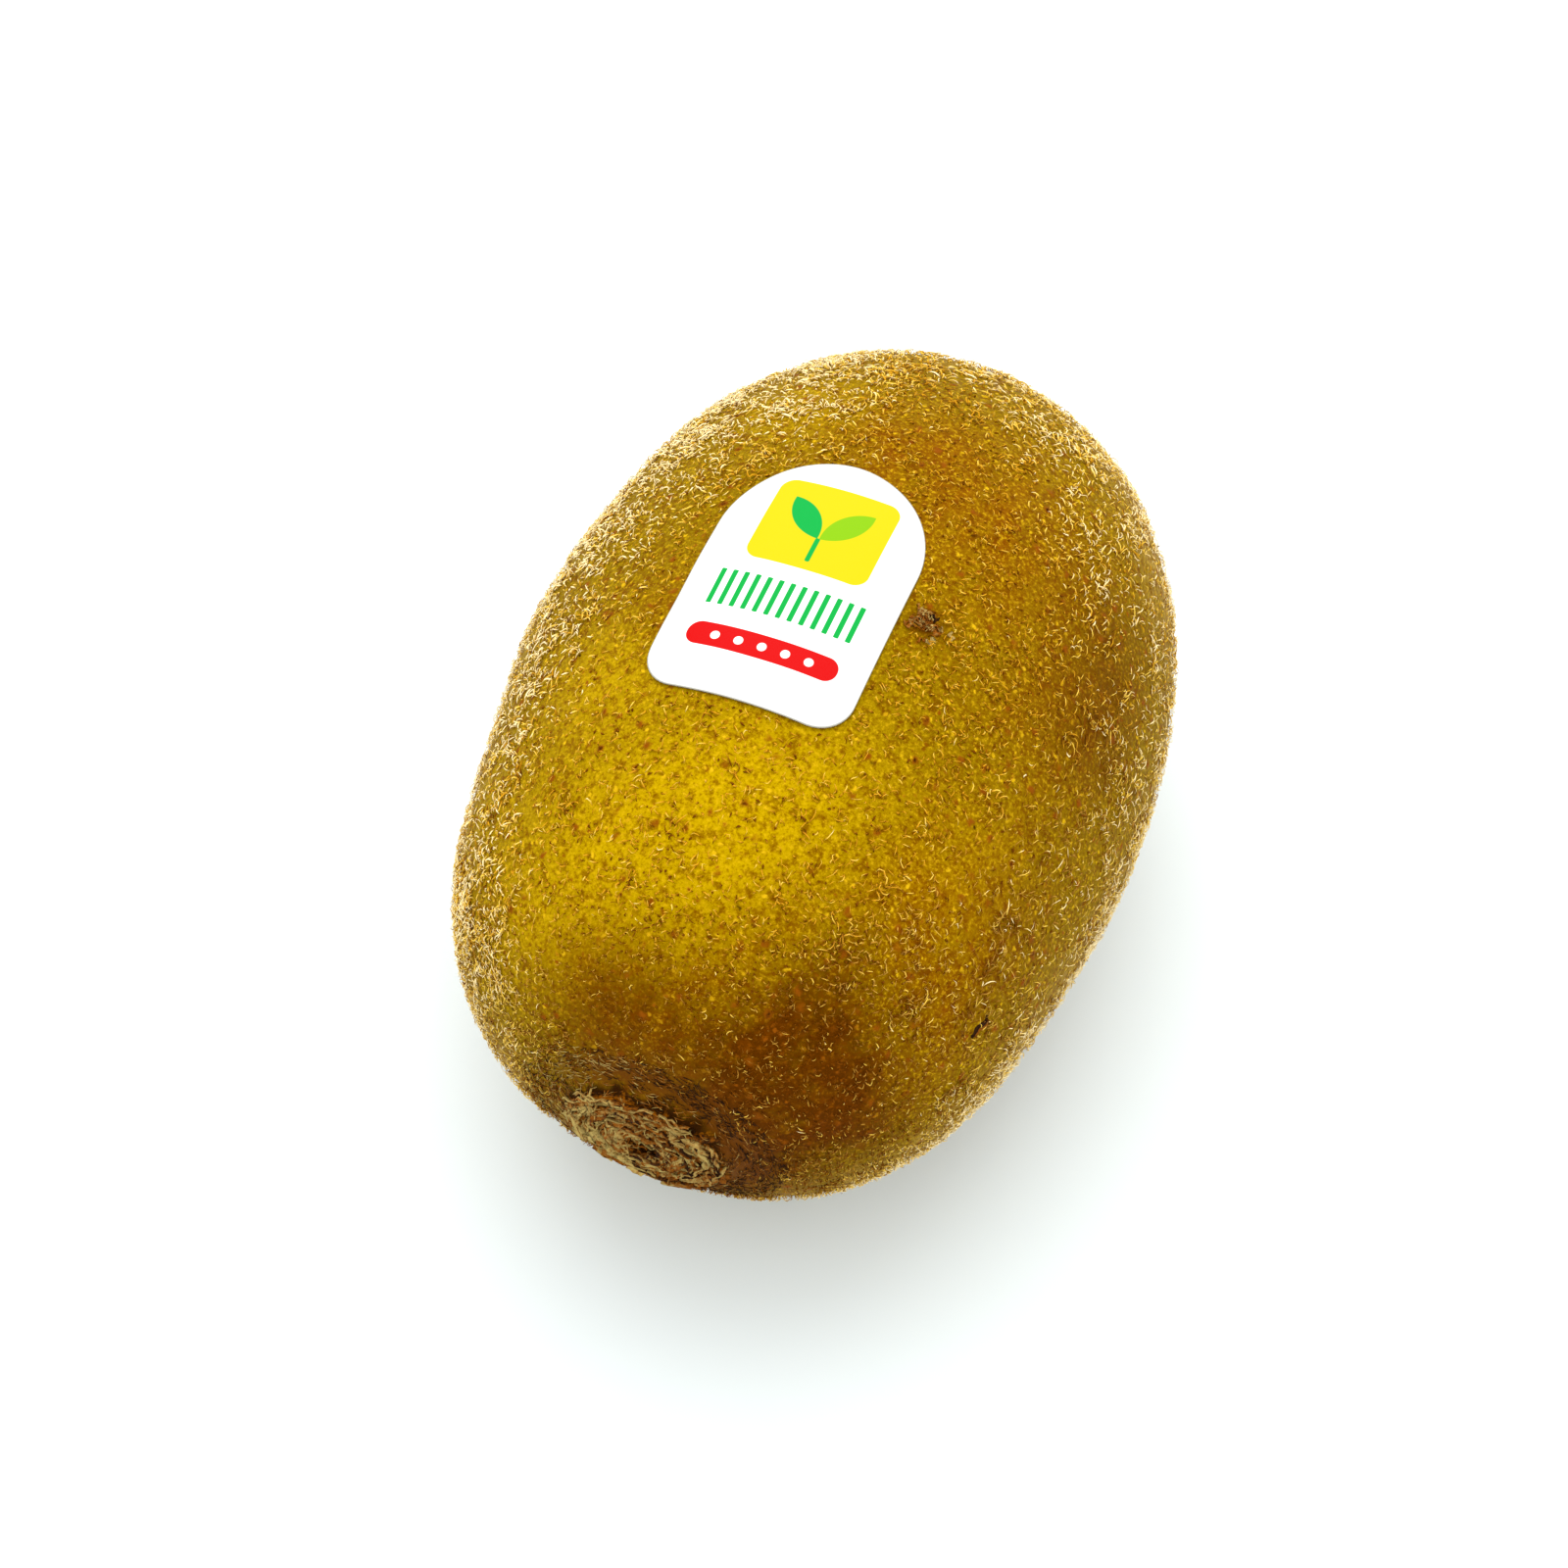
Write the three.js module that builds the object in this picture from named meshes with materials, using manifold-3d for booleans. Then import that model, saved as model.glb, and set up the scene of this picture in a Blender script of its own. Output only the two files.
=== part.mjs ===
// A golden kiwifruit lying on its side, with a small arch-topped sticker on its upper face.
// Units are millimetres, +Z is up and +Y runs from the stem end to the blossom end.
// The origin is under the middle of the fruit, on the surface that it rests on.
//
// The fruit grew as one piece, so it is one solid. Its body is a superellipse profile carried round
// the Y axis on an oval section. The corky stem scar and the sunken blossom end are heights raised
// from that body by formulas, and the dried styles are fused into the blossom end.
import * as THREE from 'three';
import { mergeVertices } from 'three/addons/utils/BufferGeometryUtils.js';
import Module from 'manifold-3d';

// ---- Driving dimensions of the fruit ----
const LENGTH = 77.6;
const WIDTH = 54;
const HEIGHT = 48.4;
const WIDEST_Y = 1.4;
const STEM_PROFILE = { along: 2.25, across: 2.8 }; // superellipse exponents of the blunt stem half
const TIP_PROFILE = { along: 2.23, across: 2.11 }; // and of the rounder blossom half
const WAIST = { y: -13.5, reach: 8, share: -0.022, lean: 0.005 }; // slight hollow of both flanks
const SWELL = { y: -2.5, reach: 8, share: 0.009, lean: 0 }; // slight fullness ahead of it
const REST_DEPTH = 0.8; // how far the underside is flattened where it rests

// ---- Stem scar: a corky disc with the remains of five sepals round the old stalk ----
const SCAR = {
  radius: 6.8, rise: 0.45, edge: 0.5,
  moatRadius: 8.1, moatDepth: 0.3, moatReach: 1.0,
  lipRadius: 2.1, lipHeight: 0.3, lipReach: 0.5,
  pitRadius: 1.3, pitDepth: 0.75,
};
// Its ridges rise and fade between these radii. They wander in and out round the axis, by waves in
// radians of a ridge's phase, and keep less of their height where the sepals parted.
const RIDGES = {
  pitch: 1.45, height: 0.24, from: 1.8, full: 2.6, fading: 5.9, to: 6.7,
  wander: [{ waves: 2, by: 0.9, start: 0.6 }, { waves: 5, by: 0.5, start: 0 }],
  kept: 0.65, parted: 0.35, sepals: 5, lean: 1.3, // lean in radians for each millimetre outwards
};

// ---- Blossom end: a low rim, a dimple and a tuft of dried styles ----
const TIP = { rimRadius: 4.2, rimHeight: 0.3, rimReach: 1.0, dimpleRadius: 2.6, dimpleDepth: 0.75 };
const STYLES = {
  rings: [{ count: 9, radius: 1.7, splay: 0.42 }, { count: 5, radius: 0.8, splay: 0.2 }],
  root: 0.9, footRadius: 0.31, tipRadius: 0.17, sides: 3, seed: 7,
  length: [1.5, 2.3], splayShare: [0.7, 1.3], stray: 0.5, // stray is a share of the space between two
};

// ---- Sticker ----
const STICKER = {
  width: 16.6, height: 23.8, cornerRadius: 2.8,
  x: -2.3, y: -1.3, turn: -1.5 * Math.PI / 180,
  gap: 0.3, thickness: 0.45, rings: 6, sides: 48,
};

// ---- Fineness of the fruit's surface ----
const CAP_RINGS = 12; // rings over each end, with 6, 12, 18 ... points
const CAP_STEP = 0.62; // spacing of those rings
const FLANK_RINGS = 34; // rings between the two ends
const AROUND = 6 * CAP_RINGS;
const SLIVER = 0.02; // edges and gaps under this size are closed up after joining
const SAME_POINT = 1e-4; // points closer than this are one point
const NORMAL_STEP = 0.05; // half the distance over which a slope is taken
const TURN_PASSES = 4; // rounds in which the turn above a place in plan is settled

const bell = (distance, reach) => Math.exp(-((distance / reach) ** 2));
const ramp = (value, from, to) => THREE.MathUtils.smoothstep(value, from, to);

// ---- Body ----

// Half-length of the end that y lies in, and that end's exponents.
function endOf(y) {
  return y < WIDEST_Y
    ? { half: WIDEST_Y + LENGTH / 2, profile: STEM_PROFILE }
    : { half: LENGTH / 2 - WIDEST_Y, profile: TIP_PROFILE };
}

// Share of the full girth at y, from 0 at the ends to 1 at the widest place.
function girth(y) {
  const { half, profile } = endOf(y);
  const away = Math.min(1, Math.abs(y - WIDEST_Y) / half);
  return (1 - away ** profile.along) ** (1 / profile.across);
}

// Small growth unevenness: a share added to the girth on both flanks, which leans to one of them
// and fades out above and below.
function unevenness(y, turn) {
  const side = Math.cos(turn);
  return side ** 2 * [WAIST, SWELL].reduce(
    (sum, form) => sum + (form.share + form.lean * side) * bell(y - form.y, form.reach), 0);
}

// Point of the plain body at y, with the given share of the full girth, at an angle round the axis.
function bodyPoint(y, share, turn) {
  const size = share * (1 + unevenness(y, turn));
  return new THREE.Vector3(WIDTH / 2 * size * Math.cos(turn), y, HEIGHT / 2 * size * Math.sin(turn));
}

// ---- Ends ----

// Height of the stem scar above the body, at a distance from the axis and an angle round it.
function scarHeight(distance, turn) {
  const plateau = SCAR.rise * (1 - ramp(distance, SCAR.radius - SCAR.edge, SCAR.radius + SCAR.edge));
  const moat = -SCAR.moatDepth * bell(distance - SCAR.moatRadius, SCAR.moatReach);
  const wander = RIDGES.wander.reduce(
    (sum, { waves, by, start }) => sum + by * Math.sin(waves * turn + start), 0);
  const broken = RIDGES.kept + RIDGES.parted * Math.cos(RIDGES.sepals * turn + RIDGES.lean * distance);
  const onDisc = ramp(distance, RIDGES.from, RIDGES.full)
    * (1 - ramp(distance, RIDGES.fading, RIDGES.to));
  const ridges = RIDGES.height * broken * onDisc
    * Math.cos(2 * Math.PI * distance / RIDGES.pitch + wander);
  const lip = SCAR.lipHeight * bell(distance - SCAR.lipRadius, SCAR.lipReach);
  const pit = -SCAR.pitDepth * bell(distance, SCAR.pitRadius);
  return plateau + moat + ridges + lip + pit;
}

// Height of the blossom end above the body.
function tipHeight(distance) {
  return TIP.rimHeight * bell(distance - TIP.rimRadius, TIP.rimReach)
    - TIP.dimpleDepth * bell(distance, TIP.dimpleRadius);
}

// Point of the finished skin: the body with its end relief along Y.
function skinPoint(y, share, turn) {
  const point = bodyPoint(y, share, turn);
  const distance = Math.hypot(point.x, point.z);
  point.y += y < WIDEST_Y ? -scarHeight(distance, turn) : tipHeight(distance);
  return point;
}

// ---- Surface mesh of the fruit ----

// Where a girth share lies along Y in one end: the inverse of girth().
function yOfGirth(share, towardsTip) {
  const { half, profile } = endOf(towardsTip ? LENGTH : -LENGTH);
  const away = (1 - share ** profile.across) ** (1 / profile.along);
  return WIDEST_Y + (towardsTip ? away : -away) * half;
}

// Rings over one end, from the pole outwards: evenly spaced, each with six more points.
function capRings(towardsTip) {
  const meanRadius = (WIDTH + HEIGHT) / 4;
  return Array.from({ length: CAP_RINGS }, (_, index) => {
    const share = (index + 1) * CAP_STEP / meanRadius;
    return { y: yOfGirth(share, towardsTip), share, count: 6 * (index + 1) };
  });
}

// Rings between the two caps, spaced evenly by the angle of an ellipse along the fruit.
function flankRings(firstY, lastY) {
  const angleOf = (y) => Math.acos(-2 * y / LENGTH);
  return Array.from({ length: FLANK_RINGS }, (_, index) => {
    const angle = THREE.MathUtils.lerp(
      angleOf(firstY), angleOf(lastY), (index + 1) / (FLANK_RINGS + 1));
    const y = -Math.cos(angle) * LENGTH / 2;
    return { y, share: girth(y), count: AROUND };
  });
}

// Triangles between two rings whose counts are equal or differ by six.
function stitch(inner, outer, triangles, flip) {
  const add = (a, b, c) => triangles.push(...(flip ? [a, c, b] : [a, b, c]));
  const at = (ring, index) => ring.start + (ring.count === 1 ? 0 : index % ring.count);
  if (inner.count === outer.count) {
    for (let i = 0; i < inner.count; i += 1) {
      add(at(inner, i), at(outer, i), at(outer, i + 1));
      add(at(inner, i), at(outer, i + 1), at(inner, i + 1));
    }
    return;
  }
  const perSixth = outer.count / 6;
  for (let sixth = 0; sixth < 6; sixth += 1) {
    const innerBase = sixth * (perSixth - 1);
    const outerBase = sixth * perSixth;
    for (let i = 0; i < perSixth; i += 1) {
      add(at(inner, innerBase + i), at(outer, outerBase + i), at(outer, outerBase + i + 1));
      if (i < perSixth - 1) {
        add(at(inner, innerBase + i), at(outer, outerBase + i + 1), at(inner, innerBase + i + 1));
      }
    }
  }
}

function fruitBodyGeometry() {
  const stemCap = capRings(false);
  const tipCap = capRings(true);
  const flank = flankRings(stemCap.at(-1).y, tipCap.at(-1).y);
  const poles = [-LENGTH / 2, LENGTH / 2].map((y) => ({ y, share: 0, count: 1 }));
  const rings = [poles[0], ...stemCap, ...flank, ...tipCap.reverse(), poles[1]];

  const positions = [];
  for (const ring of rings) {
    ring.start = positions.length / 3;
    for (let i = 0; i < ring.count; i += 1) {
      positions.push(...skinPoint(ring.y, ring.share, 2 * Math.PI * i / ring.count).toArray());
    }
  }
  const triangles = [];
  for (let i = 0; i + 1 < rings.length; i += 1) {
    const grows = rings[i].count <= rings[i + 1].count;
    if (grows) stitch(rings[i], rings[i + 1], triangles, false);
    else stitch(rings[i + 1], rings[i], triangles, true);
  }
  const geometry = new THREE.BufferGeometry();
  geometry.setAttribute('position', new THREE.Float32BufferAttribute(positions, 3));
  geometry.setIndex(triangles);
  return geometry;
}

// ---- Dried styles ----

// Repeatable draw from 0 to 1.
function seededDraw(seed) {
  let state = seed;
  return () => {
    state = (state * 16807) % 2147483647;
    return state / 2147483647;
  };
}

// One style: a slim three-sided spike, rooted below the dimple and leaning outwards.
function styleGeometry(radius, splay, turn, draw) {
  const length = THREE.MathUtils.lerp(...STYLES.length, draw());
  const spike = new THREE.CylinderGeometry(
    STYLES.tipRadius, STYLES.footRadius, length + STYLES.root, STYLES.sides);
  spike.translate(0, (length - STYLES.root) / 2, 0);
  spike.rotateY(2 * Math.PI * draw());
  spike.rotateZ(-splay * THREE.MathUtils.lerp(...STYLES.splayShare, draw()));
  spike.translate(radius, 0, 0);
  spike.rotateY(turn);
  const foot = LENGTH / 2 + tipHeight(radius);
  return spike.translate(0, foot, 0);
}

function styleGeometries() {
  const draw = seededDraw(STYLES.seed);
  return STYLES.rings.flatMap(({ count, radius, splay }) => Array.from({ length: count }, (_, index) => {
    const turn = 2 * Math.PI * (index + STYLES.stray * draw()) / count;
    return styleGeometry(radius, splay, turn, draw);
  }));
}

// ---- Sticker ----

// Points of the arch-topped outline in the sticker's own flat plane: a half circle above straight
// sides with rounded lower corners.
function stickerOutline() {
  const half = STICKER.width / 2;
  const bottom = -STICKER.height / 2;
  const archY = STICKER.height / 2 - half;
  const corner = STICKER.cornerRadius;
  const shape = new THREE.Shape();
  shape.moveTo(half, archY);
  shape.absarc(0, archY, half, 0, Math.PI, false);
  shape.lineTo(-half, bottom + corner);
  shape.absarc(-half + corner, bottom + corner, corner, Math.PI, 1.5 * Math.PI, false);
  shape.lineTo(half - corner, bottom);
  shape.absarc(half - corner, bottom + corner, corner, 1.5 * Math.PI, 2 * Math.PI, false);
  shape.closePath();
  return shape.getSpacedPoints(STICKER.sides).slice(0, STICKER.sides);
}

// Point of the plain upper skin above (x, y), and the outward normal there.
function upperSkin(x, y) {
  let turn = Math.PI / 2;
  for (let pass = 0; pass < TURN_PASSES; pass += 1) {
    const reach = WIDTH / 2 * girth(y) * (1 + unevenness(y, turn));
    turn = Math.acos(THREE.MathUtils.clamp(x / reach, -1, 1));
  }
  return bodyPoint(y, girth(y), turn);
}

function upperNormal(x, y) {
  const alongX = upperSkin(x + NORMAL_STEP, y).sub(upperSkin(x - NORMAL_STEP, y));
  const alongY = upperSkin(x, y + NORMAL_STEP).sub(upperSkin(x, y - NORMAL_STEP));
  return alongX.cross(alongY).normalize();
}

// A flat sticker point laid on the skin, lifted off it by the given height.
function laidPoint(flat, lift) {
  const x = STICKER.x + flat.x * Math.cos(STICKER.turn) - flat.y * Math.sin(STICKER.turn);
  const y = STICKER.y + flat.x * Math.sin(STICKER.turn) + flat.y * Math.cos(STICKER.turn);
  return upperSkin(x, y).addScaledVector(upperNormal(x, y), lift);
}

// One face of the sticker: its middle, then rings that grow out to the outline.
function stickerFace(lift) {
  const outline = stickerOutline();
  const points = [laidPoint(new THREE.Vector2(0, 0), lift)];
  for (let ring = 1; ring <= STICKER.rings; ring += 1) {
    const size = ring / STICKER.rings;
    points.push(...outline.map((flat) => laidPoint(flat.clone().multiplyScalar(size), lift)));
  }
  return points;
}

function stickerGeometry() {
  const lower = stickerFace(STICKER.gap);
  const upper = stickerFace(STICKER.gap + STICKER.thickness);
  const offset = lower.length;
  const sides = STICKER.sides;
  const at = (ring, index) => (ring === 0 ? 0 : 1 + (ring - 1) * sides + (index % sides));
  const triangles = [];
  for (let i = 0; i < sides; i += 1) {
    for (let ring = 0; ring < STICKER.rings; ring += 1) {
      const inner = [at(ring, i), at(ring, i + 1)];
      const outer = [at(ring + 1, i), at(ring + 1, i + 1)];
      triangles.push(offset + inner[0], offset + outer[0], offset + outer[1]);
      triangles.push(inner[0], outer[1], outer[0]);
      if (ring > 0) {
        triangles.push(offset + inner[0], offset + outer[1], offset + inner[1]);
        triangles.push(inner[0], inner[1], outer[1]);
      }
    }
    const rim = [at(STICKER.rings, i), at(STICKER.rings, i + 1)];
    triangles.push(rim[0], rim[1], offset + rim[1], rim[0], offset + rim[1], offset + rim[0]);
  }
  const positions = [...lower, ...upper].flatMap((point) => point.toArray());
  const geometry = new THREE.BufferGeometry();
  geometry.setAttribute('position', new THREE.Float32BufferAttribute(positions, 3));
  geometry.setIndex(triangles);
  return geometry;
}

// ---- Joining ----

const wasm = await Module();
wasm.setup();

// A closed three.js geometry as a solid that can be joined to others.
function toSolid(geometry) {
  const bare = geometry.clone();
  bare.deleteAttribute('normal');
  bare.deleteAttribute('uv');
  const merged = mergeVertices(bare, SAME_POINT);
  return new wasm.Manifold(new wasm.Mesh({
    numProp: 3,
    vertProperties: new Float32Array(merged.attributes.position.array),
    triVerts: new Uint32Array(merged.index.array),
  }));
}

function toGeometry(solid) {
  const mesh = solid.getMesh();
  const geometry = new THREE.BufferGeometry();
  geometry.setAttribute('position', new THREE.BufferAttribute(mesh.vertProperties, 3));
  geometry.setIndex(new THREE.BufferAttribute(mesh.triVerts, 1));
  return geometry;
}

// The fruit with its styles joined on and its underside cut flat where it rests. The slivers that
// this leaves are taken out.
function fruitGeometry() {
  const solid = styleGeometries().reduce(
    (joined, style) => joined.add(toSolid(style)), toSolid(fruitBodyGeometry()));
  const flattened = solid.trimByPlane([0, 0, 1], REST_DEPTH - HEIGHT / 2);
  return toGeometry(flattened.simplify(SLIVER));
}

// ---- The object ----

const skinFinish = new THREE.MeshStandardMaterial({ color: 0x9c7a14, roughness: 0.72, metalness: 0 });
const stickerFinish = new THREE.MeshStandardMaterial({ color: 0xf2f5ee, roughness: 0.35, metalness: 0 });

function namedMesh(name, geometry, finish) {
  geometry.computeVertexNormals();
  const mesh = new THREE.Mesh(geometry, finish);
  mesh.name = name;
  return mesh;
}

const kiwifruit = new THREE.Group();
kiwifruit.add(namedMesh('fruit', fruitGeometry(), skinFinish));
kiwifruit.add(namedMesh('sticker', stickerGeometry(), stickerFinish));

// The whole stands on z = 0, with the middle of its box over the origin.
const box = new THREE.Box3().setFromObject(kiwifruit);
kiwifruit.position.set(-(box.min.x + box.max.x) / 2, -(box.min.y + box.max.y) / 2, -box.min.z);
kiwifruit.updateMatrixWorld(true);

export default kiwifruit;
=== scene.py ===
"""A golden kiwifruit lying on its side, with a small arch-topped fruit sticker on its upper face.

Lengths are metres. +Z is up, +Y runs from the stem end to the blossom end, and the fruit rests on z = 0.
Every shape is a function of two parameters, worked out as whole arrays. On the fruit they are the arc, which
is the distance from the stem pole along the surface, and the turn, which is the angle round the long axis.
Shapes are worked out about the middle of the fruit and moved to their place in the frame at the end.
"""

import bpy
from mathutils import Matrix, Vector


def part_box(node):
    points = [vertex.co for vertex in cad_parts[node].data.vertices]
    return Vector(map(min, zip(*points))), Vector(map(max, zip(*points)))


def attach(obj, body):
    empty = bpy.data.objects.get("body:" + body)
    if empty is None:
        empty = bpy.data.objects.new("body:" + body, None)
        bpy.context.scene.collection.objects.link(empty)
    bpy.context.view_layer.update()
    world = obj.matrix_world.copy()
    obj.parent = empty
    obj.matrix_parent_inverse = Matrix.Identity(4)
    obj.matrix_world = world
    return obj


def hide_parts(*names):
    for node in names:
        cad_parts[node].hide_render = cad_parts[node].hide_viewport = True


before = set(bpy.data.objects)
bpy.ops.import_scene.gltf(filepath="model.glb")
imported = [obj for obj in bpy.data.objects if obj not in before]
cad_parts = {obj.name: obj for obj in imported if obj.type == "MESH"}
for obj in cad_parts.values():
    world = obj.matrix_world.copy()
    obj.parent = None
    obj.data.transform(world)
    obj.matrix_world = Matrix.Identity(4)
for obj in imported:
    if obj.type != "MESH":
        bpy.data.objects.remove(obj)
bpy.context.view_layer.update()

import math
from typing import NamedTuple

import bpy
import numpy as np
from bpy.props import FloatProperty, FloatVectorProperty, IntProperty, PointerProperty

bl_info = {
    "name": "Golden kiwifruit",
    "version": (1, 0, 0),
    "blender": (4, 5, 0),
    "location": "3D View > Sidebar > Kiwifruit",
    "description": "Builds a golden kiwifruit with fuzz, stem scar, dried styles and a fruit sticker",
    "category": "Add Mesh",
}

MM = 0.001

# ---- Form of the fruit, the same as in its solid ----
WIDEST_Y = 1.4 * MM
STEM_PROFILE = {"along": 2.25, "across": 2.8}  # superellipse exponents of the blunt stem half
TIP_PROFILE = {"along": 2.23, "across": 2.11}  # and of the rounder blossom half
WAIST = {"y": -13.5 * MM, "reach": 8 * MM, "share": -0.022, "lean": 0.005}
SWELL = {"y": -2.5 * MM, "reach": 8 * MM, "share": 0.009, "lean": 0}
REST_DEPTH = 0.8 * MM  # how far the underside is flattened where it rests
SCAR_PROUD = 0.76 * MM  # how far the stem scar stands out past the end of the body

# ---- Stem scar: a corky disc with the remains of five sepals round the old stalk ----
SCAR_RADIUS, SCAR_RISE, SCAR_EDGE = 6.8 * MM, 0.45 * MM, 0.5 * MM
MOAT_RADIUS, MOAT_DEPTH, MOAT_REACH = 8.1 * MM, 0.3 * MM, 1.0 * MM
LIP_RADIUS, LIP_HEIGHT, LIP_REACH = 2.1 * MM, 0.3 * MM, 0.5 * MM
PIT_RADIUS, PIT_DEPTH = 1.3 * MM, 0.75 * MM
RIDGE_PITCH, RIDGE_HEIGHT = 1.45 * MM, 0.24 * MM
# Radii between which the ridges rise and fade.
RIDGE_RISE, RIDGE_FADE = (1.8 * MM, 2.6 * MM), (5.9 * MM, 6.7 * MM)
RIDGE_WANDER = ((2, 0.9, 0.6), (5, 0.5, 0.0))  # waves round the axis, radians of a ridge's phase, and start
RIDGE_KEPT, RIDGE_PARTED, SEPALS, RIDGE_LEAN = 0.65, 0.35, 5, 1.3 / MM

# ---- Blossom end: a low rim and a dimple ----
RIM_RADIUS, RIM_HEIGHT, RIM_REACH = 4.2 * MM, 0.3 * MM, 1.0 * MM
DIMPLE_RADIUS, DIMPLE_DEPTH = 2.6 * MM, 0.75 * MM

# ---- Fineness ----
PROFILE_STEPS = 3000  # steps along each half's profile, from which arcs are read
PROFILE_POWER = 1.3
STEM_RINGS, FLANK_RINGS, TIP_RINGS = 60, 150, 15
STEM_ARC, TIP_ARC, POLE_GAP = 9 * MM, 4 * MM, 0.15 * MM  # arcs that the close rings cover, and first ring
DRAWN_OUT = (1, 0.3, 1)  # shrinks y, so that lumps turn to streaks along the fruit

# ---- Random lumps: layers of (share, size of the lumps), and what is added to the seed for them ----
GROWTH_LAYERS = ((1, 11 * MM), (0.38, 4.5 * MM), (0.16, 1.6 * MM))
RAGGED_LAYERS, RAGGED_SEED = ((0.5 * MM, 1.1 * MM),), 3  # these shares are lengths
STREAK_LAYERS, STREAK_SEED = ((1, 1.3 * MM), (0.6, 0.6 * MM)), 4
CREST_LAYERS = ((0.3, 0.5 * MM),)
FELT_LAYERS = ((0.4, 3.4 * MM), (0.4, 1.3 * MM))
DRIFT_LAYERS, DRIFT_SEED = ((0.9, 3.4 * MM), (0.7, 1.3 * MM)), 20  # felt and hairs drift together
CRINKLE_LAYERS, CRINKLE_SEED = ((1, 4 * MM),), 9

# ---- Colour zones of the skin ----
STEM_REGION, TIP_REGION = 12 * MM, 6 * MM  # how far from each end of the body that end's zones reach
CORK_SOFT = 0.4 * MM
STEM_HALO, STEM_HALO_REACH, STEM_HALO_LOST, STEM_HALO_LEFT = 0.9, 2.3 * MM, 0.7, (2 * MM, 9 * MM)
TIP_HALO, TIP_HALO_FADE = 0.75, (2.2 * MM, 5 * MM)
CREST_SHARE, CREST_LEAST = 0.5, -0.2
TAN_STREAKS, RUSSET_EVEN, RUSSET_STREAKS, FELT_EVEN = 0.4, 0.9, 0.18, 0.6

# ---- Hairs ----
TUFT = 7  # curled hairs that grow in one tuft
TUFT_SPREAD, TUFT_TONE = 0.4 * MM, 0.12  # spreads of their roots and of a tuft's shade
ROOTED = 0.04 * MM  # how far a hair's root lies under the skin
LOWEST = 0.03 * MM  # hairs stay this far off the floor
ROOT_CLEAR, HAIR_CLEAR = 0.25 * MM, 0.1 * MM  # how far roots and whole hairs stay off the sticker
# Least and greatest length, rise and radius, as shares of their means.
SPREAD_OF_LENGTH, SPREAD_OF_RISE, SPREAD_OF_RADIUS = (0.5, 1.4), (0.4, 1.6), (0.75, 1.25)
RISE_WAVE = 0.75  # share of a half wave that a hair's rise follows
SECOND_BEND = 0.8  # spread of the bend that grows towards the tip, as a share of the first one's
TIP_THICKNESS, TIP_PALER = 0.65, 0.5  # a tip's thickness as a share of its root's, and how much paler it is
# Chances that a hair is kept: the mean and the least in drifts, without drifts, on the upper face, and what
# is added on the stem half, between two distances from the middle, and in tufted patches.
DRIFT_MEAN, DRIFT_LEAST, EVEN_CHANCE = 0.42, 0.04, 0.6
UPPER_CHANCE, STEM_CHANCE, STEM_HALF, TUFTED_CHANCE = 0.5, 0.65, (18 * MM, 32 * MM), 0.4
RUSSET_RUBBED, RIPE_RUBBED = 0.4, 0.4  # shares of the fuzz that are gone from these patches
SCAR_Y, SCAR_CLEAR = -30 * MM, 1.9  # hairs thin out by the scar, from its radius to this many times it
# Distances from the middle over which hairs come to lie round the axis, and how far the skin faces -X where
# they stop. Then the share that does, the spread of their headings, and how much shorter they are.
BY_STEM, BY_STEM_CLEAR = (23 * MM, 33 * MM), (0.3, 0.5)
ROUND_SHARE, ROUND_SPREAD, ROUND_SHORTER = 0.8, 0.3, 0.4
# A hair's shade: its base, what painted light and tufts add, what dull places take, and the cap that
# dull places set. Then the spread of its draw: its base, and what painted light and tufts, dull places
# and the flanks add.
SHADE_BASE, SHADE_PAINTED_LIGHT_AND_TUFTS, SHADE_DULL, DULL_CAP = 0.34, 0.66, 0.2, 0.4
SPREAD_BASE, SPREAD_PAINTED_LIGHT_AND_TUFTS, SPREAD_DULL, SPREAD_SIDE = 0.12, 0.1, 0.1, 0.14

# ---- Dried tissue ----
FLAKE_GRID = (7, 3)  # points along and across a flake
FLAKE_TAPER = (0.12, 0.76, 0.6)  # start and share of the half wave that gives its outline, and the power
# Half a flake's thickness, its lift off the skin, its roughness and its sway.
FLAKE_THICK, FLAKE_LIFT, FLAKE_ROUGH, FLAKE_SWAY = 0.07 * MM, 0.05 * MM, 0.06 * MM, 0.18 * MM
FLAKE_RAGGED, FLAKE_WAVES, FLAKE_POLE = 0.35, 1.5, 0.3 * MM
# Least and greatest square of the distance from the axis over the scar's radius, for flakes and fibres.
FLAKE_REACH, FIBRE_REACH = (0.01, 0.95), (0.06, 2.7)
FLAKE_LENGTHS, FLAKE_WIDTHS = (1.3, 3.8), (0.08, 0.22)  # mm
FLAKE_CURLS, SCAB_CURLS = (0.05, 0.4), (0.1, 0.3)  # mm
FLAKE_LEAN = 0.25  # spread of a flake's heading about the way round the axis, in radians
FLAKE_TONES, FLAKE_TONE_CHANCES, FLAKE_TONE_SPREAD = (0.25, 0.66), (0.4, 0.6), 0.12
FLAKE_PALER, FLAKE_PALER_LEFT = 0.2, (0, 4 * MM)
SCAB_TONE_SPREAD = 0.2
FIBRE_RADIUS = 0.055 * MM
FIBRE_TONES, FIBRE_TONE_SPREAD = (0.15, 0.75), 0.15  # shades of fibres outside the scar
FIBRE_DARKER, FIBRE_DARKER_RIGHT = 0.5, (-4 * MM, 2 * MM)
FIBRE_INSIDE, FIBRE_INSIDE_SPREAD, FIBRE_OUTSIDE = 0.6, 0.2, 1.15
FIBRE_EDGE_DARKER, FIBRE_EDGE_REACH = 0.35, 0.15
STYLE_RADIUS, STYLE_ROOT, STYLE_THICK = 2.1 * MM, 0.5 * MM, 0.14 * MM  # spread and depth of roots, radius
STYLE_PLACES, STYLE_STRAY, STYLE_BEND, STYLE_SWAY = 8, 0.2, 1.6, 0.25
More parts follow.
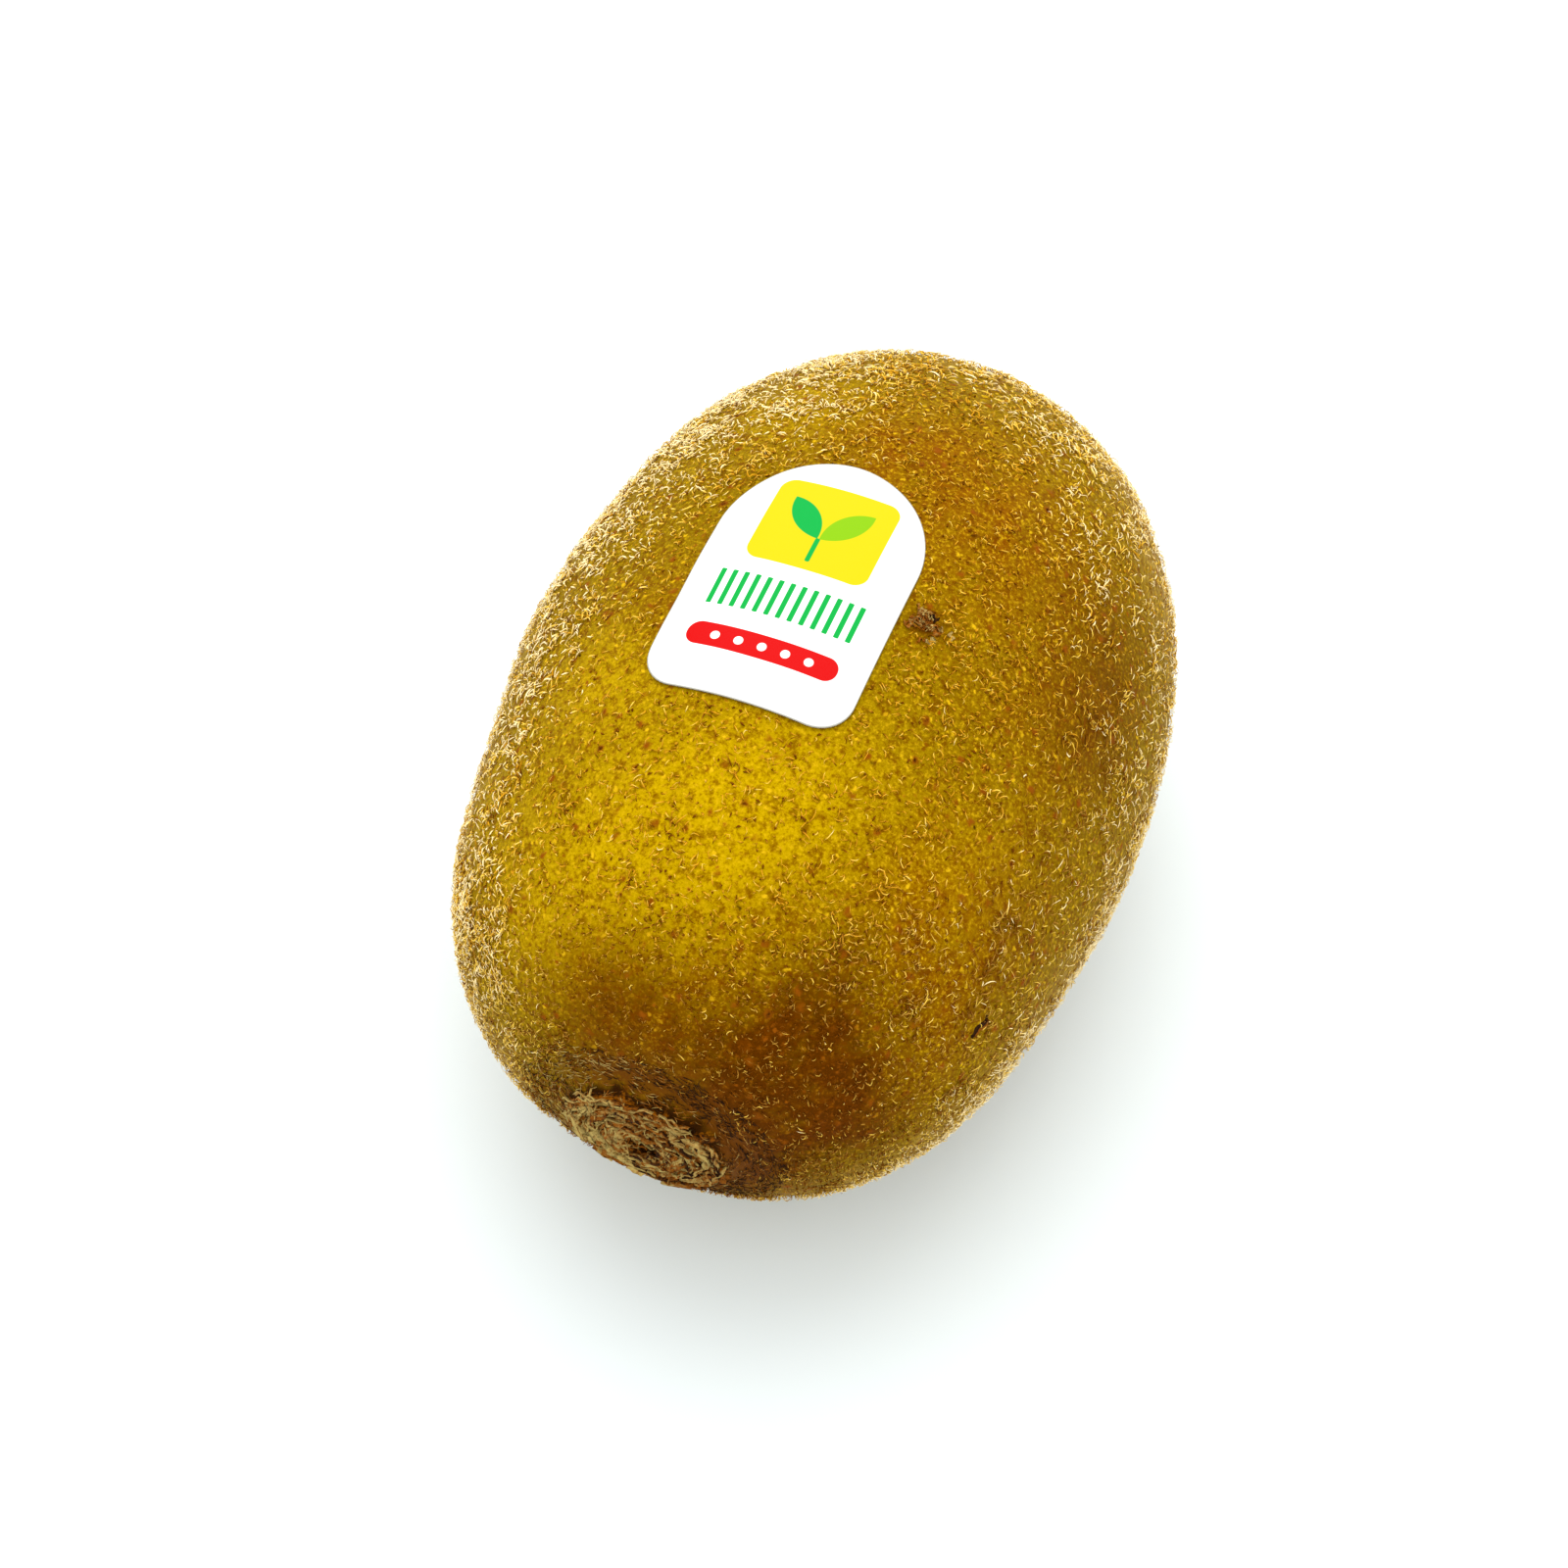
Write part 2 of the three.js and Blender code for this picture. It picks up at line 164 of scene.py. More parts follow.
STYLE_SPLAY, STYLE_SPLAY_ADDED = 0.15, 0.4  # how far styles lean out in the middle, and what the edge adds
STYLE_SPLAYS, STYLE_LENGTHS, STYLE_TONE = (0.6, 1.3), (0.7, 1.2), (0.3, 0.15)
GOLDEN_ANGLE = math.radians(137.5)

# ---- Sticker film ----
FILM_GAP, FILM_CRINKLE = 0.05 * MM, 0.06 * MM
FILM_RINGS, FILM_SIDES = 24, 160

# ---- Stage ----
FLOOR_WIDTH = 3.0
LAMP_SIZE, LAMP_PLACE = 0.9, (-0.13, 0.34, 0.69)

# ---- Colour patches of the skin: spots of (x, y, z, reach, weight), in mm from the fruit's middle ----
RIPE_SPOTS = (
    (-4.5, -27, 19, 9, 0.9), (1, -19.5, 22, 8, 0.6), (7, -18, 22, 6, 0.3), (-12, -20, 19, 8, 0.1),
    (2, -11, 23, 13, 0.12), (18.5, -16.5, 15, 6, 0.35), (-20, -21, 12, 7, 0.3), (-15, -12, 19, 4, 0.3),
    (-10, 18, 20.5, 5, 0.5), (-12.5, -13, 19.5, 4.5, 0.4), (-12, -31, 13, 5, 0.4))
TAN_SPOTS = (
    (7, 11, 22.5, 10, 0.6), (18, -1, 17, 8, 0.55), (15, -21, 16, 10, 0.35), (4, -31, 16, 9, 0.45),
    (-3, -33.5, 15, 6.5, 1.1), (18, -20, 14, 6.5, 0.8), (17, -30, 8, 6, 0.5), (-1, 15, 22.5, 6, 0.5),
    (-10, -6, 22, 5, 0.4), (14, 12, 19, 6, 0.3), (-8, 22, -18, 16, 0.8), (8, -8, -22, 14, 0.8))
RUSSET_SPOTS = (
    (11.4, -32.8, 12, 4.8, 0.8), (10.8, -29, 15.6, 3, 0.35), (9.8, -35.5, 10, 5, 1), (8.5, -38, 1, 6, 0.9),
    (-3, -35, 13.5, 5.5, 0.55), (-4, -37, 10, 6, 0.25), (5, -35.5, 12.5, 6, 0.35), (5.5, -38.1, 6, 4, 0.25),
    (14.5, -33.5, 7, 5, 0.45), (16.5, -33.5, 4.5, 3, 0.4), (21.5, 0, 14, 6.5, 0.55),
    (21.5, 9, 15.5, 6.5, 0.45), (21, -17, 11, 6, 0.35), (8, -1.3, 23.1, 1.4, 0.9), (-9, -35, -8, 7, 0.7),
    (12, -30, -12, 7, 0.7))
TUFTED_SPOTS = ((-10.4, 19.5, 19.8, 8, 1),)
ZONES = ("ripe", "tan", "russet", "halo", "cork", "crest", "felt")

# ---- Where the skin faces: rows of (weights of its normal's x, y and z, start, end, share) ----
FUZZY = (((-0.85, 0.45, 0), 0.42, 0.7, 1), ((-1, 0, 0), 0.5, 0.75, 0.8), ((1, 0.3, 0), 0.5, 0.8, 0.5),
         ((1, 0, 0), 0.85, 0.97, 1), ((0, 1, 0), 0.25, 0.6, 1), ((0, 0, -1), 0, 0.3, 1),
         ((0, -1, 0), 0.7, 0.9, 1))
SHELTERED = (((-1.15, 0, -1), 0.5, 0.85, 1), ((0.9, 0, -1), 0.5, 1, 1), ((0, 1, 0), 0.75, 0.95, 1))
SHOULDER, SHOULDER_END = (((0.9, 1.2, -1), 0.25, 0.7, 1),), (((0, 1, 0), 0.15, 0.45, 1),)
# Painted light and sheen: hairs are painted paler where the skin faces these ways, most on the -X side
# towards the blossom end, which faces the lamp, and on the flanks.
PAINTED_LIGHT_WAYS = (((-0.8, 0.55, 0), 0.22, 0.65, 1), ((0.5, 0.8, 0), 0.28, 0.5, 0.6),
        ((-0.7, -0.3, 0), 0.38, 0.7, 0.65), ((0.8, 0.5, 0), 0.52, 0.75, 0.52))
LEFT_OF_STEM = (((0, -1, 0), 0.2, 0.5, 0.25),)  # the painted light on sheltered hairs is this much weaker there
TO_STEM, TO_LEFT, TO_SIDES = (((0, -1, 0), 0.35, 0.75, 1),), (((-1, 0, 0), 0.2, 0.5, 1),), (0.5, 0.8)
FADED = (((0, -1, 0), 0.45, 0.8, 1), ((1, -1, 0), 0.7, 0.95, 1))
SLIMMER = (((0, -1, 0), 0.45, 0.8, 0.35), ((-1, 0, 0), 0.8, 0.95, 0.35), ((1, 0, 0), 0.5, 0.8, 0.35))
COMBED = (((1, 0, 0), 0.45, 0.7, 0.75), ((-1, -0.5, 0), 0.8, 0.95, 0.75))

# ---- Scabs: name, place in plan and spread in mm, number of flakes, their lengths in mm, mean shade, how
# far their headings stray from the fruit's length, and their width as a share of their length ----
SCABS = (("skin_scab", (8.0, -1.3), 0.6, 34, (0.4, 1.0), 0.48, 3.1, 0.35),
         ("skin_slit", (21.4, -24.1), 0.07, 3, (1.6, 2.2), 0.16, 0.15, 0.12))


class HairKind(NamedTuple):
    """How one kind of hair grows: its mean length over the skin, its mean rise off it, the spread of its
    bend in radians, its radius as a share of the radius of all its pieces, and the number of points along
    it. Then the share that grows on rubbed skin, how much it gathers in drifts, and the changes of shade
    that are drawn from."""
    length: float
    rise: float
    bend: float
    radius: float
    places: int
    bare: float = 0.0
    gathered: float = 1.0
    tones: tuple = (0.0,)


CURLED = HairKind(1.15 * MM, 0.26 * MM, 1.7, 0.92, 5, 0.06)
FINE = HairKind(1.0 * MM, 0.35 * MM, 1.2, 0.5, 4, 0.35, 0.8, (0.0, 0.12))
HOOKED = HairKind(0.8 * MM, 0.28 * MM, 2.0, 0.75, 4, 0.9, 0.4, (0.0, 0.12))
GRAIN = HairKind(0.42 * MM, 0.1 * MM, 0.3, 1.25, 3, 0.9, 0.3, (-0.3, -0.1))
FIBRE = HairKind(1.6 * MM, 0.12 * MM, 0.5, 1, 5)


def hex_colour(code):
    """Linear RGBA of an sRGB hex colour: each channel c becomes ((c + 0.055) / 1.055) to the 2.4, or c /
    12.92 where it is 0.04045 or less."""
    channels = [int(code[start:start + 2], 16) / 255 for start in (1, 3, 5)]
    return (*(c / 12.92 if c <= 0.04045 else ((c + 0.055) / 1.055) ** 2.4 for c in channels), 1.0)


def bell(distance, reach):
    """1 at distance 0, falling off as e to the minus square of distance over reach."""
    return np.exp(-((distance / reach) ** 2))


def ramp(value, start, end):
    """0 before start, 1 after end, and 3t^2 - 2t^3 of the share t of the way between them."""
    t = np.clip((value - start) / (end - start), 0, 1)
    return t * t * (3 - 2 * t)


def unit(vectors):
    """Vectors over their own lengths."""
    return vectors / np.linalg.norm(vectors, axis=-1, keepdims=True)


def lumps(points, size, seed):
    """Smooth random values from -1 to 1: random values on a cubic lattice of the given spacing, blended
    between the eight corners of each cell by 3t^2 - 2t^3 along each axis. The lattice repeats after 64
    cells."""
    cells = 64
    table = np.random.default_rng(seed).uniform(-1, 1, (cells, cells, cells))
    cell = points / size
    corner = np.floor(cell).astype(int)
    part = cell - corner
    part = part * part * (3 - 2 * part)
    total = np.zeros(points.shape[:-1])
    for step in np.ndindex(2, 2, 2):
        weight = np.prod(np.where(step, part, 1 - part), axis=-1)
        i, j, k = np.moveaxis((corner + step) % cells, -1, 0)
        total += weight * table[i, j, k]
    return total


def layered(points, layers, seed):
    """Lumps of several sizes added up, for layers of (share, size). Each layer takes the next seed."""
    return sum(share * lumps(points, size, seed + index) for index, (share, size) in enumerate(layers))


def patch(points, spots):
    """How strongly points lie in a colour patch: the sum over its spots of the weight times a bell of the
    distance over the spot's reach, at most 1."""
    total = sum(weight * bell(np.linalg.norm(points - np.array(place) * MM, axis=-1), reach * MM)
                for *place, reach, weight in spots)
    return np.minimum(total, 1)


def facing(normals, rows):
    """How far normals face a way, which is the greatest over its rows: the share times a ramp, from start to
    end, of the weighted sum of a normal's x, y and z."""
    parts = np.moveaxis(normals, -1, 0)
    return np.max([share * ramp(sum(weight * part for weight, part in zip(weights, parts)), start, end)
                   for weights, start, end, share in rows], axis=0)


# ---- The fruit's surface ----


def scar_height(distance, turn):
    """Height of the stem scar above the body: a plateau with a soft edge, a moat round it, broken wandering
    ridges as a cosine of the distance over their pitch, a lip round the old stalk, and the pit inside it."""
    plateau = SCAR_RISE * (1 - ramp(distance, SCAR_RADIUS - SCAR_EDGE, SCAR_RADIUS + SCAR_EDGE))
    moat = -MOAT_DEPTH * bell(distance - MOAT_RADIUS, MOAT_REACH)
    wander = sum(by * np.sin(waves * turn + start) for waves, by, start in RIDGE_WANDER)
    broken = RIDGE_KEPT + RIDGE_PARTED * np.cos(SEPALS * turn + RIDGE_LEAN * distance)
    on_disc = ramp(distance, *RIDGE_RISE) * (1 - ramp(distance, *RIDGE_FADE))
    ridges = RIDGE_HEIGHT * broken * on_disc * np.cos(2 * np.pi * distance / RIDGE_PITCH + wander)
    lip = LIP_HEIGHT * bell(distance - LIP_RADIUS, LIP_REACH)
    pit = -PIT_DEPTH * bell(distance, PIT_RADIUS)
    return plateau + moat + ridges + lip + pit


def tip_height(distance):
    """Height of the blossom end above the body: a bell-shaped rim less a bell-shaped dimple."""
    return RIM_HEIGHT * bell(distance - RIM_RADIUS, RIM_REACH) - DIMPLE_DEPTH * bell(distance, DIMPLE_RADIUS)


def unevenness(y, turn):
    """Share added to the girth on the flanks: bells along the fruit times the squared cosine of the turn."""
    side = np.cos(turn)
    forms = sum((form["share"] + form["lean"] * side) * bell(y - form["y"], form["reach"])
                for form in (WAIST, SWELL))
    return side ** 2 * forms


class FruitForm:
    """The outer surface of the fruit as points for an arc and a turn, about the middle of the fruit."""

    def __init__(self, sizes):
        self.length, self.width, self.height = sizes.length, sizes.width, sizes.height
        self.relief, self.seed = sizes.relief, sizes.seed
        stem_y, stem_share = self.half_profile(STEM_PROFILE, self.length / 2 + WIDEST_Y)
        tip_y, tip_share = self.half_profile(TIP_PROFILE, self.length / 2 - WIDEST_Y)
        self.y = np.concatenate([WIDEST_Y - stem_y, (WIDEST_Y + tip_y)[-2::-1]])
        self.share = np.concatenate([stem_share, tip_share[-2::-1]])
        radius = (self.width + self.height) / 4
        steps = np.hypot(np.diff(self.y), radius * np.diff(self.share))
        self.arc = np.concatenate([[0], np.cumsum(steps)])
        self.widest_arc = self.arc[len(stem_y) - 1]
        self.end_arc = self.arc[-1]
        stem_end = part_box("fruit")[0].y
        self.middle = np.array([0, stem_end + self.length / 2 + SCAR_PROUD, self.height / 2 - REST_DEPTH])

    @staticmethod
    def half_profile(profile, half):
        """Distances along the axis and girth shares of one half, from its pole to its widest place: half
        times cos(a)^(2/along) and sin(a)^(2/across), for angles a that grow as a power so that steps stay
        even."""
        angle = np.pi / 2 * np.linspace(0, 1, PROFILE_STEPS) ** PROFILE_POWER
        along = half * np.clip(np.cos(angle), 0, 1) ** (2 / profile["along"])
        return along, np.sin(angle) ** (2 / profile["across"])

    def girth(self, arc):
        """Half-width of the fruit at an arc."""
        return self.width / 2 * np.interp(arc, self.arc, self.share)

    def body(self, arc, turn):
        """Point of the body with its end relief: an oval section of the share of the full width and height
        that belongs to the arc, and the scar's or the tip's height added along the axis."""
        y = np.interp(arc, self.arc, self.y)
        size = np.interp(arc, self.arc, self.share) * (1 + unevenness(y, turn))
        x = self.width / 2 * size * np.cos(turn)
        z = self.height / 2 * size * np.sin(turn)
        distance = np.hypot(x, z)
        ends = np.where(arc < self.widest_arc, -scar_height(distance, turn), tip_height(distance))
        return np.stack([x, y + ends, z], axis=-1)

    def directions(self, arc, turn):
        """Unit vectors along the turn, along the arc and outwards, from central differences of the body."""
        step = 0.2 * MM
        spin = step / np.maximum(self.girth(arc), step)
        inside = np.clip(arc, step, self.end_arc - step)
        round_axis = self.body(inside, turn + spin) - self.body(inside, turn - spin)
        along = self.body(inside + step, turn) - self.body(inside - step, turn)
        outwards = unit(np.cross(along, round_axis))
        round_axis = unit(round_axis)
        return round_axis, np.cross(round_axis, outwards), outwards

    def growth(self, points):
        """Height of the skin's unevenness: random lumps at 11, 4.5 and 1.6 mm, fading out on the scar."""
        height = layered(points, GROWTH_LAYERS, self.seed)
        off_scar = ramp(points[..., 1], -self.length / 2 - SCAR_RISE, -self.length / 2 + 2 * MM)
        return self.relief * height * off_scar

    def surface(self, arc, turn):
        """Point of the finished skin: the body, raised along its normal by its growth, flat at its rest."""
        points = self.body(arc, turn)
        points = points + self.directions(arc, turn)[2] * self.growth(points)[..., None]
        points[..., 2] = np.maximum(points[..., 2], REST_DEPTH - self.height / 2)
        return points

    def over(self, x, y):
        """Arc and turn of the upper skin over a place in plan: the turn is the arccosine of x over the
        half-width there, worked out again a few times because the half-width depends on the turn."""
        arc = np.interp(y, self.y, self.arc)
        turn = np.full(np.shape(x), np.pi / 2)
        for _ in range(5):
            turn = np.arccos(np.clip(x / (self.girth(arc) * (1 + unevenness(y, turn))), -1, 1))
        return arc, turn

    def scatter(self, count, density, draw):
        """Random places on the surface, as arcs and turns: arcs are drawn in proportion to the girth, turns
        evenly, and each place is kept with the chance that density gives for its point."""
        area = np.cumsum(self.share * np.gradient(self.arc))
        arcs, turns = np.empty(0), np.empty(0)
        while len(arcs) < count:
            arc = np.interp(draw.uniform(0, area[-1], 2 * count), area, self.arc)
            turn = draw.uniform(0, 2 * np.pi, 2 * count)
            keep = draw.uniform(0, 1, 2 * count) < density(self.body(arc, turn))
            arcs, turns = np.append(arcs, arc[keep]), np.append(turns, turn[keep])
        return arcs[:count], turns[:count]


# ---- Meshes ----


def add_piece(name, points, faces, material, form, attributes=(), replaced=()):
    """Makes an object of points about the middle of the fruit and of faces, given as one array of corner
    numbers for each number of corners, with smooth shading and named attributes of one value for each
    point."""
    mesh = bpy.data.meshes.new(name)
    placed = points.reshape(-1, 3) + form.middle
    mesh.vertices.add(len(placed))
    mesh.vertices.foreach_set("co", placed.astype(np.float32).ravel())
    mesh.loops.add(sum(group.size for group in faces))
    corners = np.concatenate([group.ravel() for group in faces])
    mesh.loops.foreach_set("vertex_index", corners.astype(np.int32))
    sizes = np.concatenate([np.full(len(group), group.shape[1]) for group in faces])
    mesh.polygons.add(len(sizes))
    mesh.polygons.foreach_set("loop_start", (np.cumsum(sizes) - sizes).astype(np.int32))
    mesh.update(calc_edges=True)
    mesh.shade_smooth()
    for label, values in dict(attributes).items():
        layer = mesh.attributes.new(label, "FLOAT", "POINT")
        layer.data.foreach_set("value", values.astype(np.float32).ravel())
    mesh.materials.append(material)
    piece = bpy.data.objects.new(name, mesh)
    bpy.context.scene.collection.objects.link(piece)
    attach(piece, "root")
    if replaced:
        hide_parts(*replaced)
    return piece


def grid_faces(rows, columns):
    """Quads of a grid of points whose columns close into rings, numbered row by row."""
    row, column = np.meshgrid(np.arange(rows - 1), np.arange(columns), indexing="ij")
    after = (column + 1) % columns
    corners = [row * columns + column, row * columns + after, (row + 1) * columns + after,
               (row + 1) * columns + column]
    return np.stack(corners, axis=-1).reshape(-1, 4)


def fan_faces(pole, ring):
    """Triangles from one point to a closed ring of points."""
    return np.stack([np.full(len(ring), pole), ring, np.roll(ring, -1)], axis=-1)


def spindles(paths, radii, outwards):
    """Closed three-sided hairs along paths of shape (hairs, places, 3): a point at each end and a ring of
    three corners, of the given radius, at each place between. The rings stand across the path."""
    hairs, places = paths.shape[:2]
    rings = places - 2
    tangent = unit(paths[:, 2:] - paths[:, :-2])
    side = unit(np.cross(outwards[:, None], tangent))
    up = np.cross(tangent, side)
    angle = 2 * np.pi * np.arange(3) / 3
    spokes = side[:, :, None] * np.cos(angle)[:, None] + up[:, :, None] * np.sin(angle)[:, None]
    corners = paths[:, 1:-1, None] + radii[:, :, None, None] * spokes
    points = np.concatenate([paths[:, :1], corners.reshape(hairs, 3 * rings, 3), paths[:, -1:]], axis=1)

    last = 3 * rings + 1
    k = np.arange(3)
    after = (k + 1) % 3
    root = np.stack([np.zeros(3, int), 1 + after, 1 + k], axis=-1)
    tip = np.stack([last - 3 + k, last - 3 + after, np.full(3, last)], axis=-1)
    start = 1 + 3 * np.arange(rings - 1)[:, None]
    lower, upper = [start + k, start + after], [start + 3 + k, start + 3 + after]
    sides = [np.stack(triangle, axis=-1).reshape(-1, 3)
             for triangle in ([lower[0], lower[1], upper[1]], [lower[0], upper[1], upper[0]])]
    pattern = np.concatenate([root, *sides, tip])
    faces = pattern[None] + (np.arange(hairs) * (last + 1))[:, None, None]
    return points, faces.reshape(-1, 3)


def strips(form, arc, turn, heading, length, width, curl, draw):
    """Torn flakes on the surface, each a closed slab of an upper and a lower grid. u runs along the heading
    and v across it. The half-width is a power of a sine of u, made ragged by a draw, the strip sways as a
    sine of u, and one long edge curls up by the curl times the squared share of the way to it."""
    count = len(arc)
    long, wide = FLAKE_GRID
    start, part, power = FLAKE_TAPER
    each = (slice(None), None, None)
    u = np.linspace(0, 1, long)[:, None]
    v = np.linspace(-1, 1, wide)[None, :]
    taper = np.sin(np.pi * (start + part * u)) ** power
    ragged = 1 + FLAKE_RAGGED * draw.uniform(-1, 1, (count, long, 1))
    sway = FLAKE_SWAY * np.sin(2 * np.pi * (FLAKE_WAVES * u + draw.uniform(0, 1, (count, 1, 1))))
    s = length[each] * (u - 0.5) + 0 * v
    w = width[each] / 2 * v * taper * ragged + sway
    cos, sin = np.cos(heading)[each], np.sin(heading)[each]
    arcs = np.clip(arc[each] + s * sin + w * cos, FLAKE_POLE, form.end_arc)
    turns = turn[each] + (s * cos - w * sin) / np.maximum(form.girth(arcs), FLAKE_POLE)
    base, outwards = form.body(arcs, turns), form.directions(arcs, turns)[2]
    edge = np.abs(curl)[each] * (0.5 + 0.5 * v * np.sign(curl)[each]) ** 2
    height = FLAKE_LIFT + edge + FLAKE_ROUGH * draw.uniform(-1, 1, s.shape)
    upper = base + outwards * (height + FLAKE_THICK)[..., None]
    lower = base + outwards * (height - FLAKE_THICK)[..., None]
    per_side = long * wide
    points = np.concatenate([upper.reshape(count, per_side, 3), lower.reshape(count, per_side, 3)], axis=1)

    index = np.arange(per_side).reshape(long, wide)
    top = np.stack([index[:-1, :-1], index[:-1, 1:], index[1:, 1:], index[1:, :-1]], axis=-1).reshape(-1, 4)
    border = np.concatenate([index[0, :-1], index[:-1, -1], index[-1, :0:-1], index[:0:-1, 0]])
    after = np.roll(border, -1)
    side = np.stack([after, border, border + per_side, after + per_side], axis=-1)
    pattern = np.concatenate([top, top[:, ::-1] + per_side, side])
    faces = pattern[None] + (np.arange(count) * 2 * per_side)[:, None, None]
    return points, faces.reshape(-1, 4)


# ---- Materials ----

SMOOTH = {"interpolation_type": "SMOOTHSTEP"}
TIMES = {"operation": "MULTIPLY"}
PLUS = {"operation": "ADD"}
LESS = {"operation": "SUBTRACT"}
FOLDED = {"operation": "ABSOLUTE"}
TIMES_PLUS = {"operation": "MULTIPLY_ADD"}
OVER = {"data_type": "RGBA"}  # a Mix of colours: inputs 6 and 7 are the colour below and the one above


def add(tree, kind, settings=(), inputs=()):
    """Adds a shader node of a kind, with its settings by name and its inputs by name or number: a socket is
    linked, and anything else is set. Gives the node's outputs."""
    node = tree.nodes.new("ShaderNode" + kind)
    for name, value in dict(settings).items():
        setattr(node, name, value)
    for key, value in dict(inputs).items():
        if isinstance(value, bpy.types.NodeSocket):
            tree.links.new(value, node.inputs[key])
        else:
            node.inputs[key].default_value = value
    return node.outputs


def new_material(name):
    """An empty node material."""
    material = bpy.data.materials.new(name)
    material.use_nodes = True
    material.node_tree.nodes.clear()
    return material


def finish_material(material, **inputs):
    """Ends a material with one Principled shader. Names of inputs are written with _ for spaces."""
    named = {name.replace("_", " "): value for name, value in inputs.items()}
    shader = add(material.node_tree, "BsdfPrincipled", {}, named)
    add(material.node_tree, "OutputMaterial", {}, {"Surface": shader["BSDF"]})
    return material


def graded(tree, value, colour, stops):
    """A colour with others laid over it in turn, each by a smooth step of a value from start to end."""
    for start, end, over in stops:
        mask = add(tree, "MapRange", SMOOTH, {"Value": value, "From Min": start, "From Max": end})[0]
        colour = add(tree, "Mix", OVER, {"Factor": mask, 6: colour, 7: over})[2]
    return colour


def skin_material(look):
    """Kiwifruit skin, as grown: a thin dull cuticle over waxy cells, dotted with corky breathing pores. It
    gives the eye an olive-gold ground with rusty and dark specks and a low broad gloss."""
    material = new_material("kiwifruit_skin_grown")
    tree = material.node_tree
    place = add(tree, "TexCoord")["Object"]
    zone = {name: add(tree, "Attribute", {"attribute_name": name})["Fac"] for name in ZONES}
    # Skin cells grow in clusters of about 0.8 mm, and their wax breaks up at about 0.3 mm.
    mottle = add(tree, "TexNoise", {},
                 {"Vector": place, "Scale": 1 / (0.8 * MM), "Detail": 3.0, "Roughness": 0.6})
    grain = add(tree, "TexNoise", {},
                {"Vector": place, "Scale": 1 / (0.3 * MM), "Detail": 3.0, "Roughness": 0.7})["Fac"]
    # Rusty pores stand about 1.7 mm apart, with uneven outlines and sizes. Small ones stand 0.7 mm apart.
    strayed = add(tree, "VectorMath", TIMES_PLUS,
                  {0: mottle["Color"], 1: (0.9 * MM, 0.9 * MM, 0.9 * MM), 2: place})[0]
    rusty = add(tree, "TexVoronoi", {}, {"Vector": strayed, "Scale": 1 / (1.7 * MM)})
    small = add(tree, "TexVoronoi", {}, {"Vector": strayed, "Scale": 1 / (0.7 * MM)})
    rusty_pick = add(tree, "SeparateColor", {}, {0: rusty["Color"]})
    small_pick = add(tree, "SeparateColor", {}, {0: small["Color"]})
    masks = {}
    for name, cells, start, end, pick, least, full in (
            ("rust", rusty, 0.3, 0.05, rusty_pick["Red"], 0.2, 0.5),
            ("core", rusty, 0.16, 0.02, rusty_pick["Green"], 0.70, 1.0),
            ("dark", small, 0.34, 0.06, small_pick["Red"], 0.75, 1.0),
            ("pale", small, 0.36, 0.12, small_pick["Green"], 0.60, 0.85)):
        spot = add(tree, "MapRange", SMOOTH,
                   {"Value": cells["Distance"], "From Min": start, "From Max": end})[0]
        kept = add(tree, "MapRange", SMOOTH, {"Value": pick, "From Min": least, "From Max": full})[0]
        masks[name] = add(tree, "Math", TIMES, {0: spot, 1: kept})[0]
    # Zone weights are frayed by the mottle.
    for name, fray in (("ripe", 0.5), ("tan", 0.5), ("russet", 0.8)):
        frayed = add(tree, "Math", TIMES_PLUS, {0: mottle["Fac"], 1: fray, 2: zone[name]})
        masks[name] = add(tree, "MapRange", {},
                          {"Value": frayed[0], "From Min": 0.5 * fray, "From Max": 1 + 0.4 * fray})[0]
    for name, noise, start, end, most in (
            ("shade", mottle["Fac"], 0.56, 0.32, 0.65),
            ("glint", grain, 0.5, 0.7, 0.6),
            ("grit", grain, 0.5, 0.32, 0.55)):
        masks[name] = add(tree, "MapRange", SMOOTH,
                          {"Value": noise, "From Min": start, "From Max": end, "To Max": most})[0]
    # Hairs pressed flat make a mat of fibres that run along the fruit. They are about 0.28 mm apart, coarser
    # than life so that they show.
    drawn = add(tree, "Mapping", {}, {"Vector": place, "Scale": (1, 0.22, 1)})["Vector"]
    fibre = add(tree, "TexNoise", {},
                {"Vector": drawn, "Scale": 1 / (0.28 * MM), "Detail": 2.0, "Roughness": 0.6})["Fac"]
    strand = add(tree, "MapRange", SMOOTH, {"Value": fibre, "From Min": 0.42, "From Max": 0.56})[0]
    mat = add(tree, "Mix", OVER, {"Factor": strand, 6: look.shade, 7: look.felt})[2]
    masks["felt"] = add(tree, "Math", TIMES, {0: zone["felt"], 1: 0.8})[0]
    # Flecks of wax are duller where the skin is russet.
    glint = add(tree, "Mix", OVER, {"Factor": masks["russet"], 6: look.straw, 7: look.rust})[2]
    colour = look.olive
    for mask, over in (
            ("tan", look.tan), ("ripe", look.gold), ("russet", look.russet), ("shade", look.shade),
            ("grit", look.shade), ("glint", glint), ("pale", glint), ("dark", look.rust),
            ("rust", look.rust), ("core", look.bark), ("felt", mat)):
        colour = add(tree, "Mix", OVER, {"Factor": masks[mask], 6: colour, 7: over})[2]
    colour = add(tree, "Mix", OVER, {"Factor": zone["halo"], 6: colour, 7: look.halo})[2]

    # Over the scar the colour follows its relief, the crest: paler on the ridges, and darker down in the
    # grooves and pit, which is painted shade.
    torn = add(tree, "Math", TIMES_PLUS, {0: grain, 1: 0.9, 2: zone["crest"]})[0]
    cork = graded(tree, torn, look.bark, ((0.35, 0.65, look.sepal), (0.7, 1.15, look.cork)))
    colour = add(tree, "Mix", OVER, {"Factor": zone["cork"], 6: colour, 7: cork})[2]

